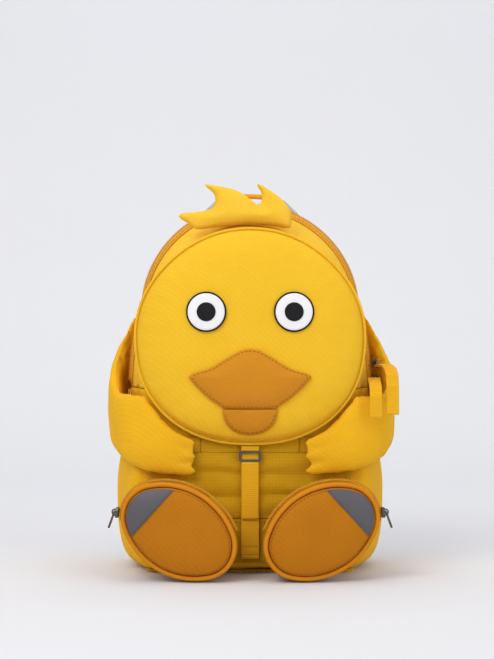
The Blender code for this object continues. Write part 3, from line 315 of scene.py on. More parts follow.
def weave_of(tree, place, kind, pitch):
    """Height of a weave: twill ribs, ripstop grid, webbing ribs, open mesh or felt."""
    if kind == "mesh":
        cells = add(tree, "ShaderNodeTexVoronoi", {}, {"Vector": place, "Scale": 1.0 / pitch})
        level = {0: cells.outputs["Distance"], 1: 0.6}
        return add(tree, "ShaderNodeMath", {"operation": "SMOOTH_MIN"}, level).outputs[0]
    if kind == "felt":
        fuzz = {"Vector": place, "Scale": 1.0 / pitch, "Detail": 6.0}
        return add(tree, "ShaderNodeTexNoise", {}, fuzz).outputs["Fac"]
    joined, bands = WEAVES[kind]
    height = None
    for share, way, sharp, weight in bands:
        wave = add(tree, "ShaderNodeTexWave", {"wave_type": "BANDS", "bands_direction": way},
                   {"Vector": place, "Scale": WAVE_UNIT / (share * pitch), "Distortion": 0.0, "Detail": 0.0})
        edge = add(tree, "ShaderNodeMath", {"operation": "POWER"}, {0: wave.outputs["Fac"], 1: sharp})
        part = add(tree, "ShaderNodeMath", {"operation": "MULTIPLY"}, {0: edge.outputs[0], 1: weight}).outputs[0]
        if height:
            part = add(tree, "ShaderNodeMath", {"operation": joined}, {0: height, 1: part}).outputs[0]
        height = part
    return height


def cloth(name, colour, shade, kind, pitch, depth=0.00025, rough=0.85, sheen=0.2):
    """Woven cloth: painted shade in the weave's low parts, tone varied by soft wear, and the weave standing up as
    bump.
    """
    made, tree, shader, place = start_material(name, rough, sheen)
    shader.inputs["Sheen Tint"].default_value = colour
    height = weave_of(tree, place, kind, pitch)
    worn = add(tree, "ShaderNodeTexNoise", {}, {"Vector": place, "Scale": 1.0 / WEAR_SIZE, "Detail": 3.0})
    # Painted shade: the weave's low parts are coloured towards the shade tone
    deep = add(tree, "ShaderNodeMath", {"operation": "MULTIPLY_ADD"}, {0: height, 1: -0.35, 2: 0.05})
    share = add(tree, "ShaderNodeMath", {"operation": "MULTIPLY_ADD"},
                {0: worn.outputs["Fac"], 1: 0.6, 2: deep.outputs[0]})
    painted(tree, shader, share.outputs[0], colour, shade)
    soft = add(tree, "ShaderNodeTexNoise", {}, {"Vector": place, "Scale": 1.0 / WRINKLE_SIZE, "Detail": 3.0})
    rise = add(tree, "ShaderNodeMath", {"operation": "MULTIPLY_ADD"}, {0: soft.outputs["Fac"], 1: 1.5, 2: height})
    raised(tree, shader, rise.outputs[0], 0.55, depth)
    return made


def hard(name, colour, shade, rough, metal, grain=0.0015):
    """Metal or moulded plastic: small changes of colour and roughness, and a fine grain."""
    made, tree, shader, place = start_material(name, rough, 0.0, metal)
    grains = add(tree, "ShaderNodeTexNoise", {}, {"Vector": place, "Scale": 1.0 / grain, "Detail": 4.0})
    stains = add(tree, "ShaderNodeTexNoise", {}, {"Vector": place, "Scale": 1.0 / 0.006, "Detail": 3.0})
    painted(tree, shader, stains.outputs["Fac"], colour, shade)
    worn = add(tree, "ShaderNodeMath", {"operation": "MULTIPLY_ADD"},
               {0: grains.outputs["Fac"], 1: 0.25, 2: rough - 0.12})
    tree.links.new(worn.outputs[0], shader.inputs["Roughness"])
    raised(tree, shader, grains.outputs["Fac"], 0.25, 0.0001)
    return made


MATERIALS = {}


def make_materials():
    """All the materials, named for what they are."""
    tone = settings()
    # Real threads lie 0.4 to 0.8 mm apart; they are drawn two to four times coarser, so that they show
    plan = {
        # Piece-dyed polyester twill: matt, fine slanting ribs and a soft sheen at the edges
        "Yellow_Polyester_Twill": (tone.yellow, YELLOW_SHADE, "twill", 0.0015),
        "Face_Yellow_Twill": (tone.face_yellow, FACE_SHADE, "twill", 0.0015),
        "Pale_Yellow_Twill": (tone.pale_yellow, YELLOW, "twill", 0.0015),
        "Orange_Polyester_Twill": (tone.orange, ORANGE_SHADE, "twill", 0.0013),
        "Foot_Twill": (tone.foot, FOOT_SHADE, "twill", 0.0014),
        # Ripstop nylon: a raised grid of thicker threads over a smooth thin ground
        "Ochre_Ripstop_Nylon": (tone.ochre, OCHRE_SHADE, "ripstop", 0.0027),
        "Ochre_Plain_Nylon": (tone.ochre, OCHRE_SHADE, "twill", 0.0012),
        # Bias-cut cover of a cord: fine and even, a tone brighter than the cloth beside it
        "Piping_Fabric": (tone.piping, FOOT, "twill", 0.0010),
        # Warp-knit zip tape: narrow ribs across the run
        "Zip_Tape_Knit": (tone.zip_tape, ORANGE, "ribs_x", 0.0010),
        # Woven polypropylene webbing: coarse ribs across, with a dry shine
        "Yellow_Webbing_Weave": (tone.webbing, ORANGE_SHADE, "ribs_z", 0.0017),
        "Handle_Webbing_Weave": (tone.webbing, ORANGE_SHADE, "ribs_x", 0.0017),
        # Polyester spacer mesh: open cells, coloured as small dark dots of painted shade
        "Grey_Spacer_Mesh": (linear("8E8D92"), "5A595E", "mesh", 0.0026),
        "Grey_Binding": (linear("6A696E"), "58575C", "twill", 0.0010),
        # Pressed felt: no weave, only a faint fuzz
        "White_Felt": (linear("F1F0F2"), "E2E1E6", "felt", 0.0012),
        "Black_Felt": (linear("1B1A1C"), "0F0E10", "felt", 0.0012),
        # Twisted polyester thread: a small change of tone along each stitch
        "Dark_Thread": (linear(THREAD_DARK), "6F470C", "felt", 0.0006),
        "Gold_Thread": (linear(THREAD_GOLD), ORANGE_SHADE, "felt", 0.0006),
    }
    for name, (colour, shade, kind, pitch) in plan.items():
        MATERIALS[name] = cloth(name, colour, linear(shade), kind, pitch)
    # Glass-bead reflective fabric: flat grey and smoother than the cloth round it
    beads = (("Reflective_Fabric", tone.grey, "58565A", 0.45), ("Silver_Reflective", tone.silver, "A2A0A0", 0.4))
    for name, colour, shade, rough in beads:
        MATERIALS[name] = cloth(name, colour, linear(shade), "felt", 0.0009, 0.0001, rough, 0.0)
    # Plated zinc casting: dark metal with a broken shine; moulded acetal and nylon coil: satin, faint grain
    solids = (("Gunmetal", "6E6A68", "57534F", 0.36, 1.0), ("Grey_Moulded_Plastic", "5B5A5F", "4D4C51", 0.5, 0.0),
              ("Zip_Coil_Plastic", "DA9A2A", "C98A20", 0.42, 0.0))
    for name, colour, shade, rough, metal in solids:
        MATERIALS[name] = hard(name, linear(colour), linear(shade), rough, metal)


# Small sums
def share_of(value):
    """A value held between 0 and 1."""
    return max(0.0, min(1.0, value))


def drawn_in(point, centre, share):
    """A flat point moved towards a centre."""
    return [c + (p - c) * share for p, c in zip(point, centre)]


# Mesh helpers
def piece_of(name, verts, faces):
    """A new mesh object with outward normals."""
    mesh = bpy.data.meshes.new(name)
    mesh.from_pydata([tuple(v) for v in verts], [], faces)
    bm = bmesh.new()
    bm.from_mesh(mesh)
    bmesh.ops.remove_doubles(bm, verts=bm.verts, dist=1e-6)
    bmesh.ops.recalc_face_normals(bm, faces=bm.faces)
    bm.to_mesh(mesh)
    bm.free()
    obj = bpy.data.objects.new(name, mesh)
    bpy.context.scene.collection.objects.link(obj)
    return obj


def loft(name, rings, closed=True, capped=True, looped=False):
    """Skin rings of equal count; closed joins each ring's ends, capped fills the first and last ring."""
    count = len(rings[0])
    verts = [p for ring in rings for p in ring]
    faces = []
    last = len(rings) if looped else len(rings) - 1
    for r in range(last):
        a, b = r * count, ((r + 1) % len(rings)) * count
        for i in range(count if closed else count - 1):
            j = (i + 1) % count
            faces.append((a + i, a + j, b + j, b + i))
    if capped and closed and not looped:
        faces.append(tuple(range(count)))
        faces.append(tuple(range((len(rings) - 1) * count, len(rings) * count)))
    return piece_of(name, verts, faces)


def applied(obj):
    """Bake an object's modifiers into its mesh."""
    bpy.context.view_layer.update()
    source = obj.evaluated_get(bpy.context.evaluated_depsgraph_get())
    made = bpy.data.meshes.new_from_object(source)
    old = obj.data
    obj.modifiers.clear()
    obj.data = made
    bpy.data.meshes.remove(old)
    return obj


def copy_of(name, node):
    """A free copy of a CAD node's mesh, its loose triangles merged."""
    obj = bpy.data.objects.new(name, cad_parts[node].data.copy())
    obj.data.materials.clear()
    bm = bmesh.new()
    bm.from_mesh(obj.data)
    bmesh.ops.remove_doubles(bm, verts=bm.verts, dist=1e-6)
    bm.to_mesh(obj.data)
    bm.free()
    bpy.context.scene.collection.objects.link(obj)
    return obj


def softened(name, node, voxel, smooth):
    """A CAD solid remeshed and rounded off, as cloth rounds an edge."""
    obj = copy_of(name, node)
    step = obj.modifiers.new("Remesh", "REMESH")
    step.mode = "VOXEL"
    step.voxel_size = voxel
    ease = obj.modifiers.new("Smooth", "SMOOTH")
    ease.factor = 0.5
    ease.iterations = smooth
    return applied(obj)


def inflate(obj, pressure, cap):
    """Blow a closed cloth form up a little, cap how far a point may move, and keep the result."""
    rest = [v.co.copy() for v in obj.data.vertices]
    step = obj.modifiers.new("Cloth", "CLOTH")
    step.settings.use_pressure = True
    step.settings.uniform_pressure_force = pressure
    step.settings.quality = 5
    step.settings.mass = 0.3
    step.settings.tension_stiffness = 15
    step.settings.bending_stiffness = 0.5
    step.settings.effector_weights.gravity = 0.0
    scene = bpy.context.scene
    step.point_cache.frame_start, step.point_cache.frame_end = 1, 20
    for number in range(1, 21):
        scene.frame_set(number)
    applied(obj)
    scene.frame_set(1)
    for vertex, start in zip(obj.data.vertices, rest):
        move = vertex.co - start
        if move.length > cap:
            vertex.co = start + move * (cap / move.length)
    return obj


def subdivided(obj, levels=1):
    """A smoothing subdivision."""
    step = obj.modifiers.new("Subdivision", "SUBSURF")
    step.levels = step.render_levels = levels
    return applied(obj)


def crumple(obj, amount, size, shift=0.0, weight=None):
    """Push points along their normals by soft seeded noise, from -amount (1 - shift) to amount shift."""
    mesh = obj.data
    normals = [v.normal.copy() for v in mesh.vertices]
    for vertex, normal in zip(mesh.vertices, normals):
        co = vertex.co
        wide = noise.noise(co / size)
        fine = noise.noise(co / (0.4 * size) + Vector((7.0, 3.0, 1.0)))
        push = max(-1.0, min(1.0, 1.2 * wide + 0.5 * fine)) * 0.5 + shift - 0.5
        vertex.co = co + normal * push * amount * (weight(co) if weight else 1.0)
    return obj


def sewn(obj, body, finish, nodes=()):
    """Give a piece its material and smooth shading, attach it to its body (for a pair of bodies only its placement
    is baked in), and hide the nodes it stands for.
    """
    obj.data.materials.clear()
    obj.data.materials.append(MATERIALS[finish])
    obj.data.shade_smooth()
    if isinstance(body, tuple):
        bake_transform(obj)
    else:
        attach(obj, body)
    if nodes:
        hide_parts(*nodes)
    return obj


def spline(points, steps):
    """Smooth run through a few points."""
    pts = [Vector(p) for p in points]
    pts = [2 * pts[0] - pts[1]] + pts + [2 * pts[-1] - pts[-2]]
    run = []
    for a, b, c, d in zip(pts, pts[1:], pts[2:], pts[3:]):
        for k in range(steps):
            t = k / steps
            bend = (3 * b - a - 3 * c + d) * t**3 + (2 * a - 5 * b + 4 * c - d) * t**2 + (c - a) * t
            run.append(0.5 * bend + b)
    return run + [pts[-2]]


def sides_of(run, across, looped=False):
    """The directions along, across and out of a run at each of its points."""
    found, count = [], len(run)
    for i in range(count):
        ahead = run[(i + 1) % count] if looped else run[min(i + 1, count - 1)]
        behind = run[i - 1] if looped else run[max(i - 1, 0)]
        along = (ahead - behind).normalized()
        side = Vector(across)
        side = (side - side.dot(along) * along).normalized()
        found.append((along, side, along.cross(side)))
    return found


def band(name, run, width, thickness, across, widths=None, swell=0.35):
    """Webbing or a padded strap: a lens or rounded bar swept along a run."""
    rings = []
    for i, (_, side, out) in enumerate(sides_of(run, across)):
        half = 0.5 * (widths[i] if widths else width)
        ring = []
        for k in range(20):
            turn = 2 * math.pi * k / 20
            c, s = math.cos(turn), math.sin(turn)
            u = math.copysign(abs(c) ** 0.45, c)
            v = math.copysign(abs(s) ** swell, s)
            ring.append(run[i] + side * half * u + out * 0.5 * thickness * v)
        rings.append(ring)
    return loft(name, rings)


def tube(name, run, radius, looped=False, across=(0.0, 1.0, 0.0)):
    """A round cord along a run."""
    turns = [2 * math.pi * k / 10 for k in range(10)]
    rings = []
    for point, (_, side, out) in zip(run, sides_of(run, across, looped)):
        rings.append([point + radius * (side * math.cos(a) + out * math.sin(a)) for a in turns])
    return loft(name, rings, looped=looped)


RUN_GROUPS = {}


def run_group(kind):
    """Geometry Nodes: one small form repeated along a run of edges, realized and given its material."""
    if kind in RUN_GROUPS:
        return RUN_GROUPS[kind]
    group = bpy.data.node_groups.new("Run_Of_" + kind, "GeometryNodeTree")
    sockets = (("Geometry", "Geometry"), ("Pitch", "Float"), ("Size", "Vector"), ("Across", "Vector"),
               ("Material", "Material"))
    for name, sort in sockets:
        group.interface.new_socket(name, in_out="INPUT", socket_type="NodeSocket" + sort)
    group.interface.new_socket("Geometry", in_out="OUTPUT", socket_type="NodeSocketGeometry")
    given = add(group, "NodeGroupInput", {}, {}).outputs
    curve = add(group, "GeometryNodeMeshToCurve", {}, {0: given["Geometry"]})
    even = add(group, "GeometryNodeResampleCurve", {"mode": "LENGTH"},
               {"Curve": curve.outputs[0], "Length": given["Pitch"]})
    if kind == "Teeth":
        form = add(group, "GeometryNodeMeshCube", {}, {"Size": (1.0, 1.0, 1.0)})
    else:
        form = add(group, "GeometryNodeMeshUVSphere", {}, {"Segments": 6, "Rings": 4, "Radius": 0.5})
    tangent = add(group, "GeometryNodeInputTangent", {}, {})
    lay = add(group, "FunctionNodeAlignRotationToVector", {"axis": "Z"}, {"Vector": tangent.outputs[0]})
    turn = add(group, "FunctionNodeAlignRotationToVector", {"axis": "X", "pivot_axis": "Z"},
               {"Rotation": lay.outputs[0], "Vector": given["Across"]})
    copies = add(group, "GeometryNodeInstanceOnPoints", {},
                 {"Points": even.outputs[0], "Instance": form.outputs[0], "Rotation": turn.outputs[0],
                  "Scale": given["Size"]})
    real = add(group, "GeometryNodeRealizeInstances", {}, {0: copies.outputs[0]})
    paint = add(group, "GeometryNodeSetMaterial", {}, {"Geometry": real.outputs[0], "Material": given["Material"]})
    add(group, "NodeGroupOutput", {}, {0: paint.outputs[0]})
    RUN_GROUPS[kind] = group
    return group


def repeated(name, runs, kind, pitch, size, across, body, finish):
    """Stitches or zip teeth along runs of points. A run is (points, closed)."""
    verts, edges = [], []
    for points, closed in runs:
        start = len(verts)
        verts += [tuple(p) for p in points]
        edges += [(start + i, start + i + 1) for i in range(len(points) - 1)]
        if closed:
            edges.append((len(verts) - 1, start))
    mesh = bpy.data.meshes.new(name)
    mesh.from_pydata(verts, edges, [])
    obj = bpy.data.objects.new(name, mesh)
    bpy.context.scene.collection.objects.link(obj)
    step = obj.modifiers.new("Run", "NODES")
    step.node_group = run_group(kind)
    values = {"Pitch": pitch, "Size": size, "Across": across, "Material": MATERIALS[finish]}
    for item in step.node_group.interface.items_tree:
        if item.in_out == "INPUT" and item.name in values:
            step[item.identifier] = values[item.name]
    applied(obj)
    return sewn(obj, body, finish)


def stitches(name, runs, body, finish="Gold_Thread", pitch=None, size=0.0024, thick=0.0007):
    """Thread stitches along runs, at the setting's pitch unless one is given."""
    pitch = pitch or settings().stitch_pitch
    return repeated(name, runs, "Stitches", pitch, (thick, thick, size), (0.0, 1.0, 0.0), body, finish)


# Bag form, repeated from the solids with more points
def half_width(z):
    """Half the bag's width at a height."""
    if z <= BELLY_Z:
        share = (BELLY_Z - z) / (BELLY_Z - Z0)
        return BASE_HALF_WIDTH + (BELLY_HALF_WIDTH - BASE_HALF_WIDTH) * (1 - share**3) ** (1 / 3)
    if z <= ARCH_START_Z:
        share = (ARCH_START_Z - z) / (ARCH_START_Z - BELLY_Z)
        return ARCH_HALF_WIDTH + (BELLY_HALF_WIDTH - ARCH_HALF_WIDTH) * 0.5 * (1 - math.cos(math.pi * share))
    side = SIDE_CENTRE_X + math.sqrt(SIDE_RADIUS**2 - (z - ARCH_START_Z) ** 2)
    if z > TOP_CENTRE_Z:
        side = min(side, math.sqrt(max(TOP_RADIUS**2 - (z - TOP_CENTRE_Z) ** 2, 0.0)))
    return side


def even_run(points, count):
    """Points at even distances along a flat run."""
    lengths = [0.0]
    for a, b in zip(points, points[1:]):
        lengths.append(lengths[-1] + math.dist(a, b))
    run, k = [], 0
    for i in range(count + 1):
        goal = lengths[-1] * i / count
        while k < len(lengths) - 2 and lengths[k + 1] < goal:
            k += 1
        share = (goal - lengths[k]) / max(lengths[k + 1] - lengths[k], 1e-12)
        a, b = points[k], points[k + 1]
        run.append((a[0] + (b[0] - a[0]) * share, a[1] + (b[1] - a[1]) * share))
    return run


def bag_outline(half_points=84):
    """The bag's outline at the zip, from the bottom middle round by the right side."""
    run = [(0.0, Z0)]
    for k in range(241):
        z = Z0 + (BAG_HEIGHT - Z0) * 0.5 * (1 - math.cos(math.pi * k / 240))
        run.append((half_width(z), z))
    right = even_run(run, half_points)
    return right + [(-x, z) for x, z in reversed(right[1:-1])]


OUTLINE = bag_outline()


def bag_ring(y, side, top, low):
    """The outline at one depth, drawn in at the sides, the top and the base."""
    tall = BAG_HEIGHT - Z0
    narrow = 1 - side / BELLY_HALF_WIDTH
    return [Vector((x * narrow, y, Z0 + low + (z - Z0) * (tall - top - low) / tall)) for x, z in OUTLINE]


def drawn_ring(ring, share):
    """A ring of the bag moved towards its middle."""
    return [Vector((p.x * share, p.y, BAG_MIDDLE_Z + (p.z - BAG_MIDDLE_Z) * share)) for p in ring]


def taper(y):
    """Share of the lid's taper reached at a depth in front of the zip."""
    return share_of((ZIP_Y - y) / (ZIP_Y - FRONT_Y - FRONT_ROUND))


def bag_skin(name):
    """The whole outer cloth of the bag as one closed skin."""
    rings = []
    for k in range(9):
        turn = 0.5 * math.pi * k / 8
        inset = BACK_ROUND * (1 - math.sin(turn))
        rings.append(bag_ring(BACK_Y - BACK_ROUND * (1 - math.cos(turn)), inset, inset, 0.5 * inset))
    for k in range(1, 13):
        rings.append(bag_ring(BACK_Y - BACK_ROUND + (ZIP_Y - BACK_Y + BACK_ROUND) * k / 12, 0.0, 0.0, 0.0))
    for k in range(1, 11):
        y = ZIP_Y + (FRONT_Y + FRONT_ROUND - ZIP_Y) * k / 10
        rings.append(bag_ring(y, LID_TAPER_SIDE * taper(y), LID_TAPER_TOP * taper(y), 0.0))
    for k in range(1, 9):
        turn = 0.5 * math.pi * (1 - k / 8)
        inset = FRONT_ROUND * (1 - math.sin(turn))
        y = FRONT_Y + FRONT_ROUND * (1 - math.cos(turn))
        rings.append(bag_ring(y, LID_TAPER_SIDE + inset, LID_TAPER_TOP + inset, 0.5 * inset))
    back = [drawn_ring(rings[0], s) for s in (0.06, 0.25, 0.45, 0.65, 0.82, 0.93)]
    front = [drawn_ring(rings[-1], s) for s in (0.93, 0.82, 0.65, 0.45, 0.25, 0.06)]
    return loft(name, back + rings + front)


def in_lid(co, grow):
    """Whether a place lies in the block of space that the lid takes."""
    if co.y > ZIP_Y + grow:
        return False
    return co.z > ZIP_END_Z - grow or (abs(co.x) < TONGUE_HALF_WIDTH + grow and co.z > LID_AXIS_Z - grow)


def cut_skin(obj, grow, lid):
    """Cut the skin along the lid's edges and keep one part of it."""
    bm = bmesh.new()
    bm.from_mesh(obj.data)
    planes = [((0, ZIP_Y + grow, 0), (0, 1, 0)), ((0, 0, ZIP_END_Z - grow), (0, 0, 1))]
    planes += [((0, 0, LID_AXIS_Z - grow), (0, 0, 1))]
    planes += [((s * (TONGUE_HALF_WIDTH + grow), 0, 0), (1, 0, 0)) for s in (-1, 1)]
    for place, direction in planes:
        geom = bm.verts[:] + bm.edges[:] + bm.faces[:]
        bmesh.ops.bisect_plane(bm, geom=geom, dist=1e-7, plane_co=place, plane_no=direction)
    gone = [f for f in bm.faces if in_lid(f.calc_center_median(), grow) != lid]
    bmesh.ops.delete(bm, geom=gone, context="FACES")
    bm.to_mesh(obj.data)
    bm.free()
    return obj


def thickened(obj, thickness):
    """Give an open skin its cloth thickness, inwards."""
    step = obj.modifiers.new("Thickness", "SOLIDIFY")
    step.thickness = thickness
    step.offset = -1.0
    return applied(obj)


def slack(co):
    """Where the bag's cloth may crumple: not at the zip, the back pad or the flat front."""
    away = share_of((abs(co.y - ZIP_Y) - 0.012) / 0.010)
    back = share_of((BACK_Y - 0.004 - co.y) / 0.010)
    front = share_of((co.y - FRONT_Y - 0.001) / 0.008)
    return away * back * (0.15 + 0.85 * front)


def make_shell():
    """Bag cloth behind the zip and the head lid's cloth in front of it."""
    whole = crumple(bag_skin("bag_cloth"), settings().bag_crumple, 0.030, 0.0, slack)
    lid = bpy.data.objects.new("lid_cloth", whole.data.copy())
    bpy.context.scene.collection.objects.link(lid)
    thickened(cut_skin(whole, SEAM_GAP, False), CLOTH_THICKNESS)
    thickened(cut_skin(lid, 0.0, True), CLOTH_THICKNESS)
    sewn(whole, "bag", "Yellow_Polyester_Twill", ["main_shell"])
    sewn(lid, "lid", "Pale_Yellow_Twill", ["lid_shell"])
    base = softened("base_cloth", "base_panel", 0.0012, 2)
    sewn(base, "bag", "Yellow_Polyester_Twill", ["base_panel"])
    edge = bag_ring(FRONT_Y + 0.0042, LID_TAPER_SIDE + 0.0042, LID_TAPER_TOP + 0.0042, 0.0)
    arch = [p for p in edge if p.z > ZIP_END_Z + 0.002]
    sewn(tube("lid_seam_welt", arch, 0.0011), "lid", "Pale_Yellow_Twill")


# Zip
def arch_run(y, off):
    """A run along the zip's arch at a depth, at a height off the shell."""
    ring = bag_ring(y, taper(y) * LID_TAPER_SIDE - off, taper(y) * LID_TAPER_TOP - off, 0.0)
    return [p for p, (_, z) in zip(ring, OUTLINE) if z > ZIP_END_Z + 2 * SEAM_GAP]


def make_zip():
    """Zip tapes with their coils' teeth, end tabs, and stitching beside the tapes."""
    for name, edge, way, body, node in (("rear_tape", ZIP_Y + SEAM_GAP, 1, "bag", "rear_zip_tape"),
                                        ("lid_tape", ZIP_Y, -1, "lid", "lid_zip_tape")):
        low, flat = 1.5 * GAP, 1.5 * GAP + 0.001
        section = [(0.0, low), (1.0, low), (1.0, 0.7 * flat), (0.95, flat), (0.6, flat + 0.0002), (0.24, flat)]
        section += [(0.20, flat + 0.0004), (0.02, flat + 0.0004)]
        runs = [arch_run(edge + way * TAPE_WIDTH * u, off) for u, off in section]
        tape = loft(name, [list(ring) for ring in zip(*runs)])
        sewn(tape, body, "Zip_Tape_Knit", [node])
        coil = arch_run(edge + way * 0.0009, flat + 0.0006)
        repeated(name + "_teeth", [(coil, False)], "Teeth", settings().tooth_pitch, (0.0017, 0.0010, 0.0009),
                 (0.0, 1.0, 0.0), body, "Zip_Coil_Plastic")
        sew = arch_run(edge + way * 0.0078, flat + 0.0003)
        stitches(name + "_stitches", [(sew, False)], body)
    for _, word in SIDES:
        tab = softened(word + "_zip_end_cloth", word + "_zip_end_tab", 0.0004, 2)
        sewn(tab, "bag", "Yellow_Polyester_Twill", [word + "_zip_end_tab"])


# Face
def face_reach(c, s):
    """Reach of the face's seam in a direction, with its upper corners drawn in."""
    round_reach = (abs(c) ** FACE_POWER + abs(s) ** FACE_POWER) ** (-1 / FACE_POWER)
    return round_reach * (1 - FACE_SHOULDER * (2 * c * max(s, 0.0)) ** 2)


def face_radius(x, z):
    """How far out on the face a place is: 0 in the middle, 1 at the seam."""
    wide, tall = x / FACE_HALF_WIDTH, (z - FACE_Z) / FACE_HALF_HEIGHT
    turn = math.atan2(tall, wide)
    return math.hypot(wide, tall) / face_reach(math.cos(turn), math.sin(turn))


def face_front(x, z):
    """Depth of the face's outer surface at a place."""
    return FACE_RIM_Y - FACE_BULGE * (1 - min(face_radius(x, z), 1.0) ** 3) ** 0.4545


def face_outline(scale, count=160):
    """The face's outline, drawn in by a scale."""
    run = []
    for k in range(count):
        turn = 2 * math.pi * k / count
        c, s = math.cos(turn), math.sin(turn)
        reach = face_reach(c, s) * scale
        run.append((FACE_HALF_WIDTH * c * reach, FACE_Z + FACE_HALF_HEIGHT * s * reach))
    return run


def patch(name, outline, centre, thickness, edge, steps=10, lift=2 * GAP):
    """A sewn patch lying on the face, its front crowned and its edge turned under."""
    rings = []
    for k in range(1, steps + 1):
        rings.append((k / steps, 0.0))
    for k in range(steps, 0, -1):
        share = k / steps
        rings.append((share if k < steps else 0.994, edge + (thickness - edge) * (1 - share**4)))
    skins = []
    for share, height in rings:
        ring = []
        for x, z in outline:
            px, pz = drawn_in((x, z), centre, share)
            ring.append(Vector((px, face_front(px, pz) - lift - height, pz)))
        skins.append(ring)
    return loft(name, skins)


def on_face(outline, centre, share, off):
    """A run drawn in from an outline, lying off the face."""
    run = []
    for x, z in outline:
        px, pz = drawn_in((x, z), centre, share)
        run.append(Vector((px, face_front(px, pz) - off, pz)))
    return run


def oval(centre, radius, count=64):
    """A round outline."""
    turns = [2 * math.pi * k / count for k in range(count)]
    return [(centre[0] + radius * math.cos(a), centre[1] + radius * math.sin(a)) for a in turns]


def make_face():
    """Padded face with its seam welt, and plain round felt eyes."""
    rings = [[Vector((x, FACE_BACK_Y, z)) for x, z in face_outline(0.62)]]
    drawn = 1 + 0.0018 / FACE_HALF_HEIGHT
    for scale, deep in ((0.88, 0.10), (0.95, 0.3), (0.985, 0.6), (1.0, 0.93), (drawn, 0.95), (drawn, 1.05)):
        rings.append([Vector((x, FACE_BACK_Y - deep * FACE_EDGE_DEPTH, z)) for x, z in face_outline(scale)])
    shares = [1.0, 0.997, 0.99, 0.98, 0.965, 0.945, 0.92, 0.89, 0.85, 0.8, 0.74, 0.66, 0.56, 0.45, 0.33, 0.2, 0.08]
    for share in shares:
        ring = []
        for k, (x, z) in enumerate(face_outline(share)):
            pucker = math.sin(k * 2 * math.pi * 37 / 160) + 0.6 * noise.noise(Vector((x, 0.0, z)) / 0.018)
            edge = max(0.0, share - 0.80) / 0.20 * (1 - share) * 18
            ring.append(Vector((x, face_front(x, z) + 0.00035 * pucker * edge, z)))
        rings.append(ring)
    pad = loft("face_padding", rings)
    crumple(pad, 0.0016, 0.045, 0.5, lambda co: 1.0 if co.y < FACE_RIM_Y - 0.006 else 0.0)
    sewn(pad, "face", "Face_Yellow_Twill", ["face_pad"])
    welt = tube("face_welt", [Vector((x, FACE_RIM_Y, z)) for x, z in face_outline(drawn)], WELT_RADIUS, True)
    sewn(welt, "face", "Face_Yellow_Twill", ["face_piping"])
    for side, word in SIDES:
        centre = (side * EYE_SPREAD, FACE_Z + EYE_RISE)
        rim = patch(word + "_eye_rim", oval(centre, EYE_RIM_RADIUS), centre, 0.0012, 0.0010)
        sewn(rim, "face", "Black_Felt", [word + "_eye"])
        white = patch(word + "_eye_white", oval(centre, EYE_WHITE_RADIUS), centre, 0.0012, 0.0008, lift=0.0016)
        sewn(white, "face", "White_Felt")
        pupil = patch(word + "_eye_pupil", oval(centre, PUPIL_RADIUS), centre, 0.0010, 0.0006, lift=0.0026)
        sewn(pupil, "face", "Black_Felt")


def bill_outline():
    """The bill's outline: a soft peak, side corners and a rounded lower edge."""
    half = [Vector((BILL_HALF_WIDTH * u, BILL_Z + BILL_HEIGHT * v, 0.0)) for u, v in BILL_SHAPE]
    loop = half + [Vector((-p.x, p.y, 0.0)) for p in reversed(half[1:-1])]
    run = spline(loop + loop[:1], 8)[:-1]
    return [(p.x, p.y) for p in run]


def make_bill():
    """Padded bill with dark edge stitching, and the lip flap under it."""
    ring, centre = bill_outline(), (0.0, BILL_Z)
    bill = patch("bill_padding", ring, centre, BILL_THICKNESS, BILL_EDGE_THICKNESS, 16)
    sewn(bill, "face", "Orange_Polyester_Twill", ["upper_bill"])
    inward = 0.94
    crest = BILL_EDGE_THICKNESS + (BILL_THICKNESS - BILL_EDGE_THICKNESS) * (1 - inward**4)
    sew = on_face(ring, centre, inward, 2 * GAP + crest + 0.0001)
    stitches("bill_stitches", [(sew, True)], "face", "Dark_Thread", 0.0034, 0.0024, 0.0006)
    lip_back = face_front(LIP_HALF_WIDTH, LIP_TOP_Z - 0.4 * LIP_HEIGHT)
    front = min(face_front(0.0, LIP_TOP_Z), lip_back) - 2 * GAP - LIP_THICKNESS
    edge = []
    for k in range(49):
        turn = math.pi * k / 48
        edge.append((LIP_HALF_WIDTH * math.cos(turn), LIP_TOP_Z - LIP_HEIGHT * math.sin(turn) ** 0.8))
    skins = []
    for share, back in [(k / 8, 1) for k in range(2, 9)] + [(k / 8, 0) for k in range(8, 1, -1)]:
        ring = []
        for x, z in edge:
            px, pz = drawn_in((x, z), (0.0, LIP_TOP_Z), share)
            thick = 0.0 if back else LIP_THICKNESS * (0.55 + 0.45 * (1 - share**5))
            ring.append(Vector((px, max(face_front(px, pz) - 2 * GAP - thick, front), pz)))
        skins.append(ring)
    lip = sewn(loft("lip_padding", skins), "lip", "Orange_Polyester_Twill", ["lower_bill"])
    sew = []
    for x, z in edge[3:-3]:
        px, pz = drawn_in((x, z), (0.0, LIP_TOP_Z), 0.90)
        sew.append(Vector((px, max(face_front(px, pz) - 2 * GAP - 0.0022, front) - 0.0002, pz)))
    stitches("lip_stitches", [(sew, False)], "lip", "Dark_Thread", 0.0034, 0.0024, 0.0006)


def make_tuft():
    """Stuffed feather tuft on the lid's top."""
    tuft = softened("tuft_padding", "tuft", 0.0018, 5)
    inflate(tuft, settings().tuft_pressure, TUFT_SWELL_CAP)
    crumple(tuft, 0.0010, 0.020, 0.4)
    subdivided(tuft)
    sewn(tuft, "lid", "Pale_Yellow_Twill", ["tuft"])


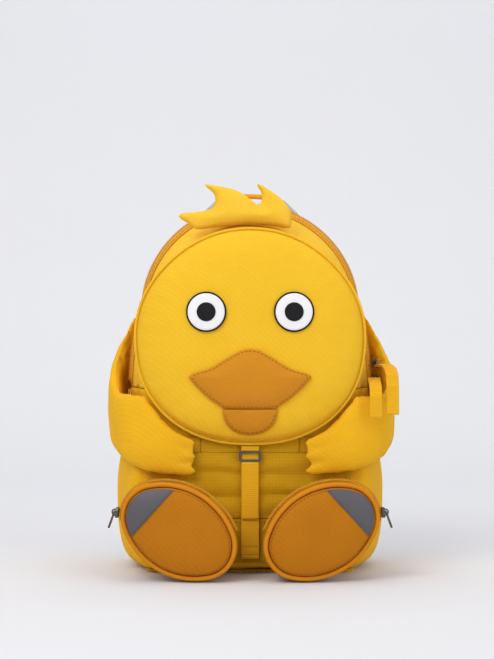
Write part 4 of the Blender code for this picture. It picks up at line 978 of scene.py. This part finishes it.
def make_wings():
    """Stuffed wings sewn to the sides, wrapped to the front and tucked up under the face's edge."""
    for side, word in SIDES:
        wing = softened(word + "_wing_padding", word + "_wing", 0.0016, 3)
        for vertex in wing.data.vertices:
            wide, tall = abs(vertex.co.x), vertex.co.z
            near = share_of((0.098 - wide) / 0.012) * share_of((wide - 0.040) / 0.030)
            vertex.co.z += WING_TUCK * near * share_of((tall - 0.105) / 0.030)
            close = share_of((tall - 0.180) / 0.020)
            vertex.co.x -= side * close * (ARCH_HALF_WIDTH - half_width(max(tall, ARCH_START_Z)))
        inflate(wing, settings().wing_pressure, WING_SWELL_CAP)
        crumple(wing, 0.0016, 0.034, 0.25)
        sewn(wing, word + "_wing", "Yellow_Polyester_Twill", [word + "_wing"])
        root = []
        for k in range(31):
            z = WING_ROOT_LOW_Z + (WING_ROOT_TOP_Z - WING_ROOT_LOW_Z) * k / 30
            root.append(Vector((side * (half_width(z) + 0.0006), WING_ROOT_Y, z)))
        sewn(tube(word + "_wing_seam", root, 0.0016), "bag", "Yellow_Polyester_Twill")


def front_sheet(name, x0, x1, z0, z1, folds, body, finish, lift=GAP, thick=0.0011, nodes=()):
    """A cloth panel lying on the bag's front, with soft level folds."""
    columns, rows = 60, 48
    rings = []
    for k in range(rows + 1):
        v = k / rows
        z = z0 + (z1 - z0) * v
        row = []
        for i in range(columns + 1):
            u = i / columns
            x = x0 + (x1 - x0) * u
            edge = min(1.0, 9 * u, 9 * (1 - u)) if folds else 0.0
            wander = 0.35 * noise.noise(Vector((x / 0.05, v * 3, 1.0)))
            fold = 0.5 - 0.5 * math.cos(2 * math.pi * (3 * v + wander))
            row.append(Vector((x, FRONT_Y - lift - folds * fold**0.6 * edge, z)))
        front = [p - Vector((0.0, thick, 0.0)) for p in row]
        back = list(reversed(row))
        rings.append(front + back)
    return sewn(loft(name, rings), body, finish, nodes)


def make_belly():
    """Ripstop belly panel with folds, its strips under the face, and the plain panel between the feet."""
    belly = front_sheet("belly_cloth", -POCKET_HALF_WIDTH, POCKET_HALF_WIDTH, POCKET_LOW_Z, POCKET_TOP_Z,
                        settings().belly_fold, "bag", "Ochre_Ripstop_Nylon", nodes=["belly_pocket"])
    high = FACE_LOW_Z + 0.004
    half = BELLY_STRIP_HALF_WIDTH
    front_sheet("belly_strip_mid", -half, half, POCKET_TOP_Z + 0.0001, high, 0.0, ("bag", "lid"),
                "Ochre_Ripstop_Nylon", thick=0.0016)
    for side, word in SIDES:
        ends = sorted((side * (half + GAP), side * POCKET_HALF_WIDTH))
        front_sheet(word + "_belly_strip", ends[0], ends[1], POCKET_TOP_Z + 0.0001, high, 0.0, "bag",
                    "Ochre_Ripstop_Nylon", thick=0.0016)
    half = LOWER_PANEL_HALF_WIDTH
    front_sheet("lower_panel_cloth", -half, half, LOWER_PANEL_LOW_Z, POCKET_LOW_Z - 0.0004, 0.0, "bag",
                "Ochre_Plain_Nylon", thick=0.0010)
    seam = [Vector((x / 50 * half, FRONT_Y - GAP - 0.0014, POCKET_LOW_Z - 0.003)) for x in range(-50, 51)]
    stitches("belly_seam_stitches", [(seam, False)], "bag", "Gold_Thread", 0.0034)


def make_strap():
    """Closing strap: ribbed webbing with a stitched hem, its tail and the tab above the buckle."""
    back = POCKET_FRONT_Y - GAP
    mid = back - 0.5 * STRAP_THICKNESS
    low = BUCKLE_LOW_Z - GAP
    run = [Vector((0.0, mid, STRAP_FOOT_Z + (low - STRAP_FOOT_Z) * k / 40)) for k in range(41)]
    strap = band("strap_webbing", run, STRAP_WIDTH, STRAP_THICKNESS, (1, 0, 0), swell=0.3)
    sewn(strap, "closing_strap", "Yellow_Webbing_Weave", ["front_strap"])
    tail_y = back - STRAP_THICKNESS - GAP - 0.4 * STRAP_THICKNESS
    run = [Vector((0.0, tail_y, low - (low - POCKET_LOW_Z) * k / 30)) for k in range(31)]
    tail = band("tail_webbing", run, STRAP_WIDTH - 0.001, 0.8 * STRAP_THICKNESS, (1, 0, 0), swell=0.3)
    sewn(tail, "closing_strap", "Yellow_Webbing_Weave", ["strap_tail"])
    top = FACE_LOW_Z - 0.0036
    run = [Vector((0.0, mid, BUCKLE_TOP_Z + GAP + (top - BUCKLE_TOP_Z - GAP) * k / 6)) for k in range(7)]
    tab = band("tab_webbing", run, STRAP_WIDTH, STRAP_THICKNESS, (1, 0, 0), swell=0.3)
    sewn(tab, "closing_strap", "Yellow_Webbing_Weave", ["strap_tab"])
    run = [Vector((0.0, back - 0.0006, low + 0.0004 + (top - low - 0.004) * k / 8)) for k in range(9)]
    loop = band("buckle_webbing", run, STRAP_WIDTH - 0.0006, 0.0010, (1, 0, 0), swell=0.3)
    sewn(loop, "closing_strap", "Yellow_Webbing_Weave")
    front = mid - 0.5 * STRAP_THICKNESS - 0.0001
    rows = []
    for z in (STRAP_FOOT_Z + 0.0035, STRAP_FOOT_Z + 0.0105):
        rows.append(([Vector((x * 0.0058 / 10, front, z)) for x in range(-10, 11)], False))
    stitches("strap_hem_stitches", rows, "closing_strap", "Dark_Thread", 0.0022, 0.0016, 0.0006)


# Feet
def foot_oval(draw, steps=30):
    """Four-arc oval drawn in by an amount."""
    length, height, end = FOOT_HALF_LENGTH - draw, FOOT_HALF_HEIGHT - draw, FOOT_END_RADIUS - draw
    centre = length - end
    long = (centre**2 + height**2 - end**2) / (2 * (height - end))
    join = math.atan2(centre, long - height)
    run = []
    for k in range(steps + 1):
        turn = -(0.5 * math.pi - join) + (math.pi - 2 * join) * k / steps
        run.append((centre + end * math.cos(turn), end * math.sin(turn)))
    for k in range(1, steps):
        turn = 0.5 * math.pi - join + 2 * join * k / steps
        run.append((long * math.cos(turn), height - long + long * math.sin(turn)))
    return run + [(-x, -z) for x, z in run]


def foot_place(side):
    """The foot's own frame in the row frame."""
    turn = Matrix.Rotation(side * FOOT_YAW, 4, "Z") @ Matrix.Rotation(-side * FOOT_TILT, 4, "Y")
    return Matrix.Translation((side * FOOT_SPREAD, FOOT_FRONT_Y, FOOT_Z)) @ turn


def crown(draw):
    """How far the foot's front panel stands out at a distance in from its seam."""
    share = share_of((draw - FOOT_PANEL_STEP) / (0.026 - FOOT_PANEL_STEP))
    return 0.0004 - 0.0052 * (1 - (1 - share) ** 2) ** 0.7


def make_feet():
    """Zipped feet: gusset, crowned cover, piping, reflective corner, zip teeth and stitching."""
    rim = COVER_DEPTH + SEAM_GAP
    deep = POCKET_FRONT_Y - FOOT_FRONT_Y
    for side, word in SIDES:
        place = foot_place(side)

        def put(points, y):
            return [place @ Vector((x * side, y, z)) for x, z in points]

        rings = []
        for k in range(13):
            y = rim + (1.6 * deep - rim) * k / 12
            if y < 0.5 * deep:
                draw = 0.002 * (y - rim) / (0.5 * deep - rim)
            else:
                draw = 0.002 + (FOOT_BACK_TAPER - 0.002) * (y - 0.5 * deep) / (1.1 * deep)
            ring = put(foot_oval(draw), y)
            rings.append([Vector((p.x, min(p.y, FOOT_WALL_Y), p.z)) for p in ring])
        gusset = loft(word + "_foot_gusset", rings, capped=False)
        crumple(gusset, 0.0012, 0.016, 0.0, lambda co: 1.0 if co.y < FOOT_WALL_Y - 0.006 else 0.3)
        thickened(gusset, 0.0022)
        sewn(gusset, "bag", "Foot_Twill", [word + "_foot_shell"])

        body = word + "_foot_cover"
        steps = [(0.004, COVER_DEPTH), (0.0006, COVER_DEPTH), (0.0, COVER_DEPTH - 0.0006), (0.0, 0.0056)]
        steps += [(0.001, 0.0052), (0.003, 0.0050), (FOOT_PANEL_STEP, 0.0042), (FOOT_PANEL_STEP, 0.0012)]
        draws = (0.0050, 0.0058, 0.007, 0.009, 0.0115, 0.0145, 0.018, 0.022, 0.0265)
        steps += [(draw, crown(draw)) for draw in draws]
        cover = loft(word + "_foot_panel", [put(foot_oval(draw), y) for draw, y in steps])
        crumple(cover, 0.0008, 0.020, 0.5)
        sewn(cover, body, "Foot_Twill", [word + "_foot_cover"])
        cord = put(foot_oval(PIPING_RADIUS + 0.0001), PIPING_RADIUS + 0.0006)
        piping = tube(word + "_foot_welt", cord, PIPING_RADIUS - 0.0001, True, place.to_3x3() @ Vector((0, 1, 0)))
        sewn(piping, body, "Piping_Fabric", [word + "_foot_piping"])

        edge_x = REFLECTOR_START * FOOT_HALF_LENGTH
        top_z, low_z = corner_reach(edge_x, REFLECTOR_DRAW, 1), corner_reach(edge_x, REFLECTOR_DRAW, -1)
        rows, sew = [], []
        for k in range(41):
            z = low_z + (top_z - low_z) * k / 40
            start = edge_x - REFLECTOR_LEAN * z
            end = start
            while foot_draw(end, z) > REFLECTOR_DRAW:
                end += 0.0001
            line = [(start + (end - start) * i / 14, z) for i in range(15)]
            rows.append([place @ Vector((x * side, crown(foot_draw(x, z)) - 0.0007, z)) for x, z in line])
            x = start + 0.0016
            if foot_draw(x, z) > REFLECTOR_DRAW:
                sew.append(place @ Vector((x * side, crown(foot_draw(x, z)) - 0.0011, z)))
        mark = thickened(loft(word + "_reflective_corner", rows, closed=False), 0.0004)
        sewn(mark, body, "Reflective_Fabric", [word + "_reflector"])
        stitches(word + "_reflector_stitches", [(sew, False)], body, "Grey_Binding", 0.0028, 0.0018, 0.0006)
        draw = FOOT_PANEL_STEP + 0.0012
        around = put(foot_oval(draw), crown(draw) - 0.0004)
        stitches(word + "_foot_stitches", [(around, True)], body, "Dark_Thread", 0.0030, 0.0020, 0.0005)
        make_foot_zip(side, word, place, rim)


def foot_draw(x, z):
    """How far in from the foot's seam a place lies."""
    x, z = abs(x), abs(z)
    centre = FOOT_HALF_LENGTH - FOOT_END_RADIUS
    high = FOOT_HALF_HEIGHT
    long = (centre**2 + high**2 - FOOT_END_RADIUS**2) / (2 * (high - FOOT_END_RADIUS))
    join = math.atan2(centre, long - high)
    if math.atan2(z, x - centre) < 0.5 * math.pi - join:
        return FOOT_END_RADIUS - math.hypot(x - centre, z)
    return long - math.hypot(x, z + long - high)


def corner_reach(edge_x, draw, way):
    """Height at which the reflective corner's straight edge meets the seam, up or down."""
    z = 0.0
    while foot_draw(edge_x - REFLECTOR_LEAN * z, z) > draw + 0.0002:
        z += 0.0001 * way
    return z


def make_foot_zip(side, word, place, rim):
    """Tape and teeth of a foot's zip."""
    run = foot_oval(0.0)
    found = [i for i, (x, z) in enumerate(run) if z > -0.45 * FOOT_HALF_HEIGHT and x > -0.8 * FOOT_HALF_LENGTH]
    found.sort(key=lambda i: math.atan2(run[i][1], run[i][0]))
    section = [(0.0002, -2 * GAP), (0.006, -2 * GAP - 0.0003), (0.0062, -0.0013)]
    section += [(0.0056, -0.0016), (0.0030, -0.0014), (0.0006, -0.0015)]
    ovals = [(y, foot_oval(draw)) for y, draw in section]
    rings = []
    for i in found:
        rings.append([place @ Vector((line[i][0] * side, rim + y, line[i][1])) for y, line in ovals])
    sewn(loft(word + "_foot_tape", rings), "bag", "Zip_Tape_Knit", [word + "_foot_zip"])
    across = place.to_3x3() @ Vector((0.0, 1.0, 0.0))
    line = foot_oval(-0.0019)
    coil = [place @ Vector((line[i][0] * side, rim + 0.0014, line[i][1])) for i in found]
    repeated(word + "_foot_teeth", [(coil, False)], "Teeth", 0.0016, (0.0018, 0.0008, 0.0008), across, "bag",
             "Zip_Coil_Plastic")


def make_handle():
    """Grab handle of folded webbing with reflective sleeves at its ends."""
    rise = settings().handle_rise
    lift = rise / SOLID_HANDLE_RISE
    foot_z = TOP_CENTRE_Z + math.sqrt(TOP_RADIUS**2 - HANDLE_HALF_SPAN**2) - 0.004
    arc = []
    for k in range(13):
        turn = math.pi * k / 12
        x = -HANDLE_HALF_SPAN * math.cos(turn)
        arc.append(Vector((x, HANDLE_Y, foot_z + rise * math.sin(turn) ** 0.7)))
    grip = [p for p in arc if abs(p.x) <= HANDLE_HALF_SPAN - SLEEVE_LENGTH]
    webbing = band("handle_webbing", spline(grip, 4), HANDLE_WIDTH, HANDLE_THICKNESS, (0, 1, 0), swell=0.5)
    sewn(webbing, "handle", "Handle_Webbing_Weave", ["handle_grip"])
    for _, word in SIDES:
        sleeve = softened(word + "_handle_sleeve", word + "_handle_end", 0.0006, 3)
        for vertex in sleeve.data.vertices:
            vertex.co.z += (lift - 1) * max(0.0, vertex.co.z - foot_z)
        sewn(sleeve, "bag", "Silver_Reflective", [word + "_handle_end"])


def make_back():
    """Quilted back pad, padded shoulder straps with bindings, webbing, yoke and anchors."""
    rings = []
    for draw, deep in ((0.030, 0.0), (0.016, 0.05), (0.0142, 0.2), (0.014, 0.4), (0.0145, 0.62), (0.0165, 0.82)):
        rings.append(bag_ring(BACK_PAD_Y + deep * BACK_PAD_THICKNESS, draw, draw, draw))
    for draw, deep in ((0.020, 0.93), (0.024, 0.98), (0.030, 1.0), (0.040, 1.0), (0.052, 1.0), (0.066, 1.0)):
        rings.append(bag_ring(BACK_PAD_Y + deep * BACK_PAD_THICKNESS, draw, draw, draw))
    for share in (0.85, 0.7, 0.55, 0.4, 0.25, 0.1):
        rings.append(drawn_ring(rings[11], share))
    pad = loft("back_cushion", rings)
    subdivided(pad, 2)
    pitch, depth = settings().quilt_pitch, settings().quilt_depth
    for vertex in pad.data.vertices:
        co = vertex.co
        full = share_of(((co.y - BACK_PAD_Y) / BACK_PAD_THICKNESS - 0.55) / 0.4)
        line = abs((co.z - 0.02) / pitch % 1.0 - 0.5) * pitch
        co.y -= depth * full * math.exp(-(line / QUILT_CHANNEL_REACH) ** 2)
    sewn(pad, "bag", "Grey_Spacer_Mesh", ["back_pad"])
    edge = bag_ring(BACK_PAD_Y + 0.0012, 0.0128, 0.0128, 0.0128)
    sewn(tube("back_binding", edge, WELT_RADIUS, True), "bag", "Yellow_Polyester_Twill")
    for side, word in SIDES:
        body = word + "_strap"
        top = Vector((side * SHOULDER_TOP_X, STRAP_Y, SHOULDER_TOP_Z))
        low = Vector((side * SHOULDER_LOW_X, STRAP_Y, SHOULDER_LOW_Z))

        def hang(share, bow):
            return top.lerp(low, share) + Vector((0.0, STRAP_BOW * bow, 0.0))

        run = spline([hang(0.0, 0.0), hang(0.08, 0.52), hang(0.30, 1.0), hang(0.52, 0.98), hang(0.68, 0.72)], 9)
        widths = []
        for k in range(len(run)):
            u = k / (len(run) - 1)
            full = SHOULDER_NECK_WIDTH + (SHOULDER_WIDTH - SHOULDER_NECK_WIDTH) * min(1.0, 3.5 * u)
            widths.append(full - 0.0084 * max(0.0, u - 0.9) * 10)
        strap = band(word + "_strap_padding", run, SHOULDER_WIDTH, SHOULDER_THICKNESS, (1, 0, 0), widths, 0.55)
        sewn(strap, body, "Grey_Spacer_Mesh", [word + "_shoulder_strap"])
        frames = sides_of(run, (1, 0, 0))
        for way, tag in ((-1, "inner"), (1, "outer")):
            edge = [p + f[1] * way * 0.5 * w for p, f, w in zip(run, frames, widths)]
            binding = tube(word + "_strap_binding_" + tag, edge, BINDING_RADIUS)
            sewn(binding, body, "Yellow_Polyester_Twill")
        lean = (hang(0.76, 0.55) - hang(0.68, 0.72)).normalized()
        start = hang(0.68, 0.72) + lean * (LADDER_LOCK_LENGTH + 4 * GAP)
        run = spline([start, hang(0.88, 0.26), hang(0.99, 0.0)], 8)
        web = band(word + "_webbing", run, WEBBING_WIDTH, LOWER_WEBBING_THICKNESS, (1, 0, 0), swell=0.3)
        sewn(web, body, "Yellow_Webbing_Weave", [word + "_lower_webbing"])
        anchor = softened(word + "_anchor_webbing", word + "_strap_anchor", 0.0005, 2)
        sewn(anchor, "bag", "Yellow_Webbing_Weave", [word + "_strap_anchor"])
    yoke = softened("yoke_webbing", "strap_yoke", 0.0006, 2)
    sewn(yoke, "bag", "Yellow_Webbing_Weave", ["strap_yoke"])


def make_hardware():
    """Metal and plastic solids keep their shape and get their finish; pull tabs become webbing."""
    for node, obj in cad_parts.items():
        if obj.hide_render or node.endswith("_pull_tab"):
            continue
        plastic = node.endswith("_ladder_lock")
        finish = MATERIALS["Grey_Moulded_Plastic" if plastic else "Gunmetal"]
        if not obj.material_slots:
            obj.data.materials.append(finish)
        for slot_of in obj.material_slots:
            slot_of.material = finish
    for word in ("main", "end"):
        tab = softened(word + "_tab_webbing", word + "_pull_tab", 0.0005, 2)
        sewn(tab, word + "_pull", "Yellow_Webbing_Weave", [word + "_pull_tab"])


def make_stage():
    """Pale seamless sweep, soft lamps, and the camera at the photograph's angle."""
    scene = bpy.context.scene
    scene.view_settings.view_transform = "Standard"
    bend = SWEEP_BEND_RADIUS
    profile = [(-SWEEP_REACH, 0.0), (SWEEP_BEND_Y, 0.0)]
    for k in range(1, 13):
        turn = 0.5 * math.pi * k / 12
        profile.append((SWEEP_BEND_Y + bend * math.sin(turn), bend * (1 - math.cos(turn))))
    profile.append((SWEEP_BEND_Y + bend, SWEEP_TOP_Z))
    verts = [(x, y, z) for x in (-SWEEP_REACH, SWEEP_REACH) for y, z in profile]
    count = len(profile)
    faces = [(i, i + 1, count + i + 1, count + i) for i in range(count - 1)]
    sweep = piece_of("studio_sweep", verts, faces)
    # Seamless paper: flat and pale; its far part has a painted glow for the lens, which does not light the bag
    made, tree, shader, place = start_material("Studio_Paper", 0.9)
    soft = add(tree, "ShaderNodeTexNoise", {}, {"Vector": place, "Scale": 1.0 / 0.4, "Detail": 3.0})
    painted(tree, shader, soft.outputs["Fac"], settings().backdrop, linear("E0E0E2"))
    seen = add(tree, "ShaderNodeLightPath", {}, {})
    rays = seen.outputs["Is Camera Ray"]
    for name in ("Is Glossy Ray", "Is Transmission Ray"):
        pair = {0: rays, 1: seen.outputs[name]}
        rays = add(tree, "ShaderNodeMath", {"operation": "MAXIMUM"}, pair).outputs[0]
    parts = add(tree, "ShaderNodeSeparateXYZ", {}, {0: place})
    far = add(tree, "ShaderNodeMapRange", {},
              {"Value": parts.outputs["Y"], "From Min": -0.2, "From Max": 1.3, "To Max": 0.115})
    glow = add(tree, "ShaderNodeMath", {"operation": "MULTIPLY"}, {0: rays, 1: far.outputs["Result"]})
    tree.links.new(glow.outputs[0], shader.inputs["Emission Strength"])
    shader.inputs["Emission Color"].default_value = linear("F7F7F7")
    sweep.data.materials.append(made)
    sweep.data.shade_smooth()
    world = bpy.data.worlds.new("Soft_Room")
    scene.world = world
    world.use_nodes = True
    world.node_tree.nodes["Background"].inputs["Color"].default_value = linear("F5F5F8")
    world.node_tree.nodes["Background"].inputs["Strength"].default_value = 0.55
    lamps = (("Key_Softbox", (-0.9, -1.5, 1.5), 1.1, 19.0), ("Fill_Softbox", (1.3, -1.4, 0.8), 1.4, 8.0),
             ("Top_Softbox", (0.0, 0.2, 1.9), 1.6, 13.0))
    for name, spot, size, power in lamps:
        lamp = bpy.data.lights.new(name, "AREA")
        lamp.size, lamp.energy = size, power
        holder = bpy.data.objects.new(name, lamp)
        holder.location = spot
        aim = LAMP_AIM - Vector(spot)
        holder.rotation_euler = aim.to_track_quat("-Z", "Y").to_euler()
        scene.collection.objects.link(holder)
    lens = bpy.data.cameras.new("Photo_Camera")
    lens.sensor_fit = "VERTICAL"
    lens.sensor_height = SENSOR_HEIGHT_MM
    lens.lens = FOCAL_LENGTH_MM
    camera = bpy.data.objects.new("Photo_Camera", lens)
    camera.location = CAMERA_PLACE
    camera.rotation_euler = (math.radians(90.0), 0.0, 0.0)
    scene.collection.objects.link(camera)
    scene.camera = camera


# Add-on
class BACKPACK_OT_materials(bpy.types.Operator):
    """All the materials, named for what they are"""

    bl_idname = "backpack.materials"
    bl_label = "Materials"

    def execute(self, context):
        make_materials()
        return {"FINISHED"}


class BACKPACK_OT_shell(bpy.types.Operator):
    """Bag cloth behind the zip and the head lid's cloth in front of it"""

    bl_idname = "backpack.shell"
    bl_label = "Bag and lid cloth"

    def execute(self, context):
        make_shell()
        return {"FINISHED"}


class BACKPACK_OT_zip(bpy.types.Operator):
    """Zip tapes with their coils' teeth, end tabs, and stitching beside the tapes"""

    bl_idname = "backpack.zip"
    bl_label = "Main zip"

    def execute(self, context):
        make_zip()
        return {"FINISHED"}


class BACKPACK_OT_face(bpy.types.Operator):
    """Padded face with its seam welt, and plain round felt eyes"""

    bl_idname = "backpack.face"
    bl_label = "Face and eyes"

    def execute(self, context):
        make_face()
        return {"FINISHED"}


class BACKPACK_OT_bill(bpy.types.Operator):
    """Padded bill with dark edge stitching, and the lip flap under it"""

    bl_idname = "backpack.bill"
    bl_label = "Bill and lip"

    def execute(self, context):
        make_bill()
        return {"FINISHED"}


class BACKPACK_OT_tuft(bpy.types.Operator):
    """Stuffed feather tuft on the lid's top"""

    bl_idname = "backpack.tuft"
    bl_label = "Feather tuft"

    def execute(self, context):
        make_tuft()
        return {"FINISHED"}


class BACKPACK_OT_wings(bpy.types.Operator):
    """Stuffed wings sewn to the sides, wrapped to the front and tucked up under the face's edge"""

    bl_idname = "backpack.wings"
    bl_label = "Wings"

    def execute(self, context):
        make_wings()
        return {"FINISHED"}


class BACKPACK_OT_belly(bpy.types.Operator):
    """Ripstop belly panel with folds, its strips under the face, and the plain panel between the feet"""

    bl_idname = "backpack.belly"
    bl_label = "Belly panel"

    def execute(self, context):
        make_belly()
        return {"FINISHED"}


class BACKPACK_OT_strap(bpy.types.Operator):
    """Closing strap: ribbed webbing with a stitched hem, its tail and the tab above the buckle"""

    bl_idname = "backpack.strap"
    bl_label = "Closing strap"

    def execute(self, context):
        make_strap()
        return {"FINISHED"}


class BACKPACK_OT_feet(bpy.types.Operator):
    """Zipped feet: gusset, crowned cover, piping, reflective corner, zip teeth and stitching"""

    bl_idname = "backpack.feet"
    bl_label = "Zipped feet"

    def execute(self, context):
        make_feet()
        return {"FINISHED"}


class BACKPACK_OT_handle(bpy.types.Operator):
    """Grab handle of folded webbing with reflective sleeves at its ends"""

    bl_idname = "backpack.handle"
    bl_label = "Grab handle"

    def execute(self, context):
        make_handle()
        return {"FINISHED"}


class BACKPACK_OT_back(bpy.types.Operator):
    """Quilted back pad, padded shoulder straps with bindings, webbing, yoke and anchors"""

    bl_idname = "backpack.back"
    bl_label = "Back pad and straps"

    def execute(self, context):
        make_back()
        return {"FINISHED"}


class BACKPACK_OT_hardware(bpy.types.Operator):
    """Metal and plastic solids keep their shape and get their finish; pull tabs become webbing"""

    bl_idname = "backpack.hardware"
    bl_label = "Metal and plastic"

    def execute(self, context):
        make_hardware()
        return {"FINISHED"}


class BACKPACK_OT_stage(bpy.types.Operator):
    """Pale seamless sweep, soft lamps, and the camera at the photograph's angle"""

    bl_idname = "backpack.stage"
    bl_label = "Studio"

    def execute(self, context):
        make_stage()
        return {"FINISHED"}


OPERATORS = (
    BACKPACK_OT_materials, BACKPACK_OT_shell, BACKPACK_OT_zip, BACKPACK_OT_face, BACKPACK_OT_bill,
    BACKPACK_OT_tuft, BACKPACK_OT_wings, BACKPACK_OT_belly, BACKPACK_OT_strap, BACKPACK_OT_feet,
    BACKPACK_OT_handle, BACKPACK_OT_back, BACKPACK_OT_hardware, BACKPACK_OT_stage,
)


class BACKPACK_PT_sidebar(bpy.types.Panel):
    """Sidebar panel with the settings and one button for each group."""

    bl_idname = "BACKPACK_PT_sidebar"
    bl_label = "Backpack"
    bl_space_type = "VIEW_3D"
    bl_region_type = "UI"
    bl_category = "Backpack"

    def draw(self, context):
        for name in BackpackSettings.__annotations__:
            self.layout.prop(context.scene.backpack_settings, name)
        for operator in OPERATORS:
            self.layout.operator(operator.bl_idname)


CLASSES = (BackpackSettings, *OPERATORS, BACKPACK_PT_sidebar)


def register():
    """Add the classes and the scene's settings."""
    for item in CLASSES:
        bpy.utils.register_class(item)
    bpy.types.Scene.backpack_settings = bpy.props.PointerProperty(type=BackpackSettings)


def unregister():
    """Take them away again."""
    del bpy.types.Scene.backpack_settings
    for item in reversed(CLASSES):
        bpy.utils.unregister_class(item)


def main():
    """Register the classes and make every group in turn."""
    register()
    bpy.ops.backpack.materials()
    bpy.ops.backpack.shell()
    bpy.ops.backpack.zip()
    bpy.ops.backpack.face()
    bpy.ops.backpack.bill()
    bpy.ops.backpack.tuft()
    bpy.ops.backpack.wings()
    bpy.ops.backpack.belly()
    bpy.ops.backpack.strap()
    bpy.ops.backpack.feet()
    bpy.ops.backpack.handle()
    bpy.ops.backpack.back()
    bpy.ops.backpack.hardware()
    bpy.ops.backpack.stage()


if __name__ == "__main__":
    main()
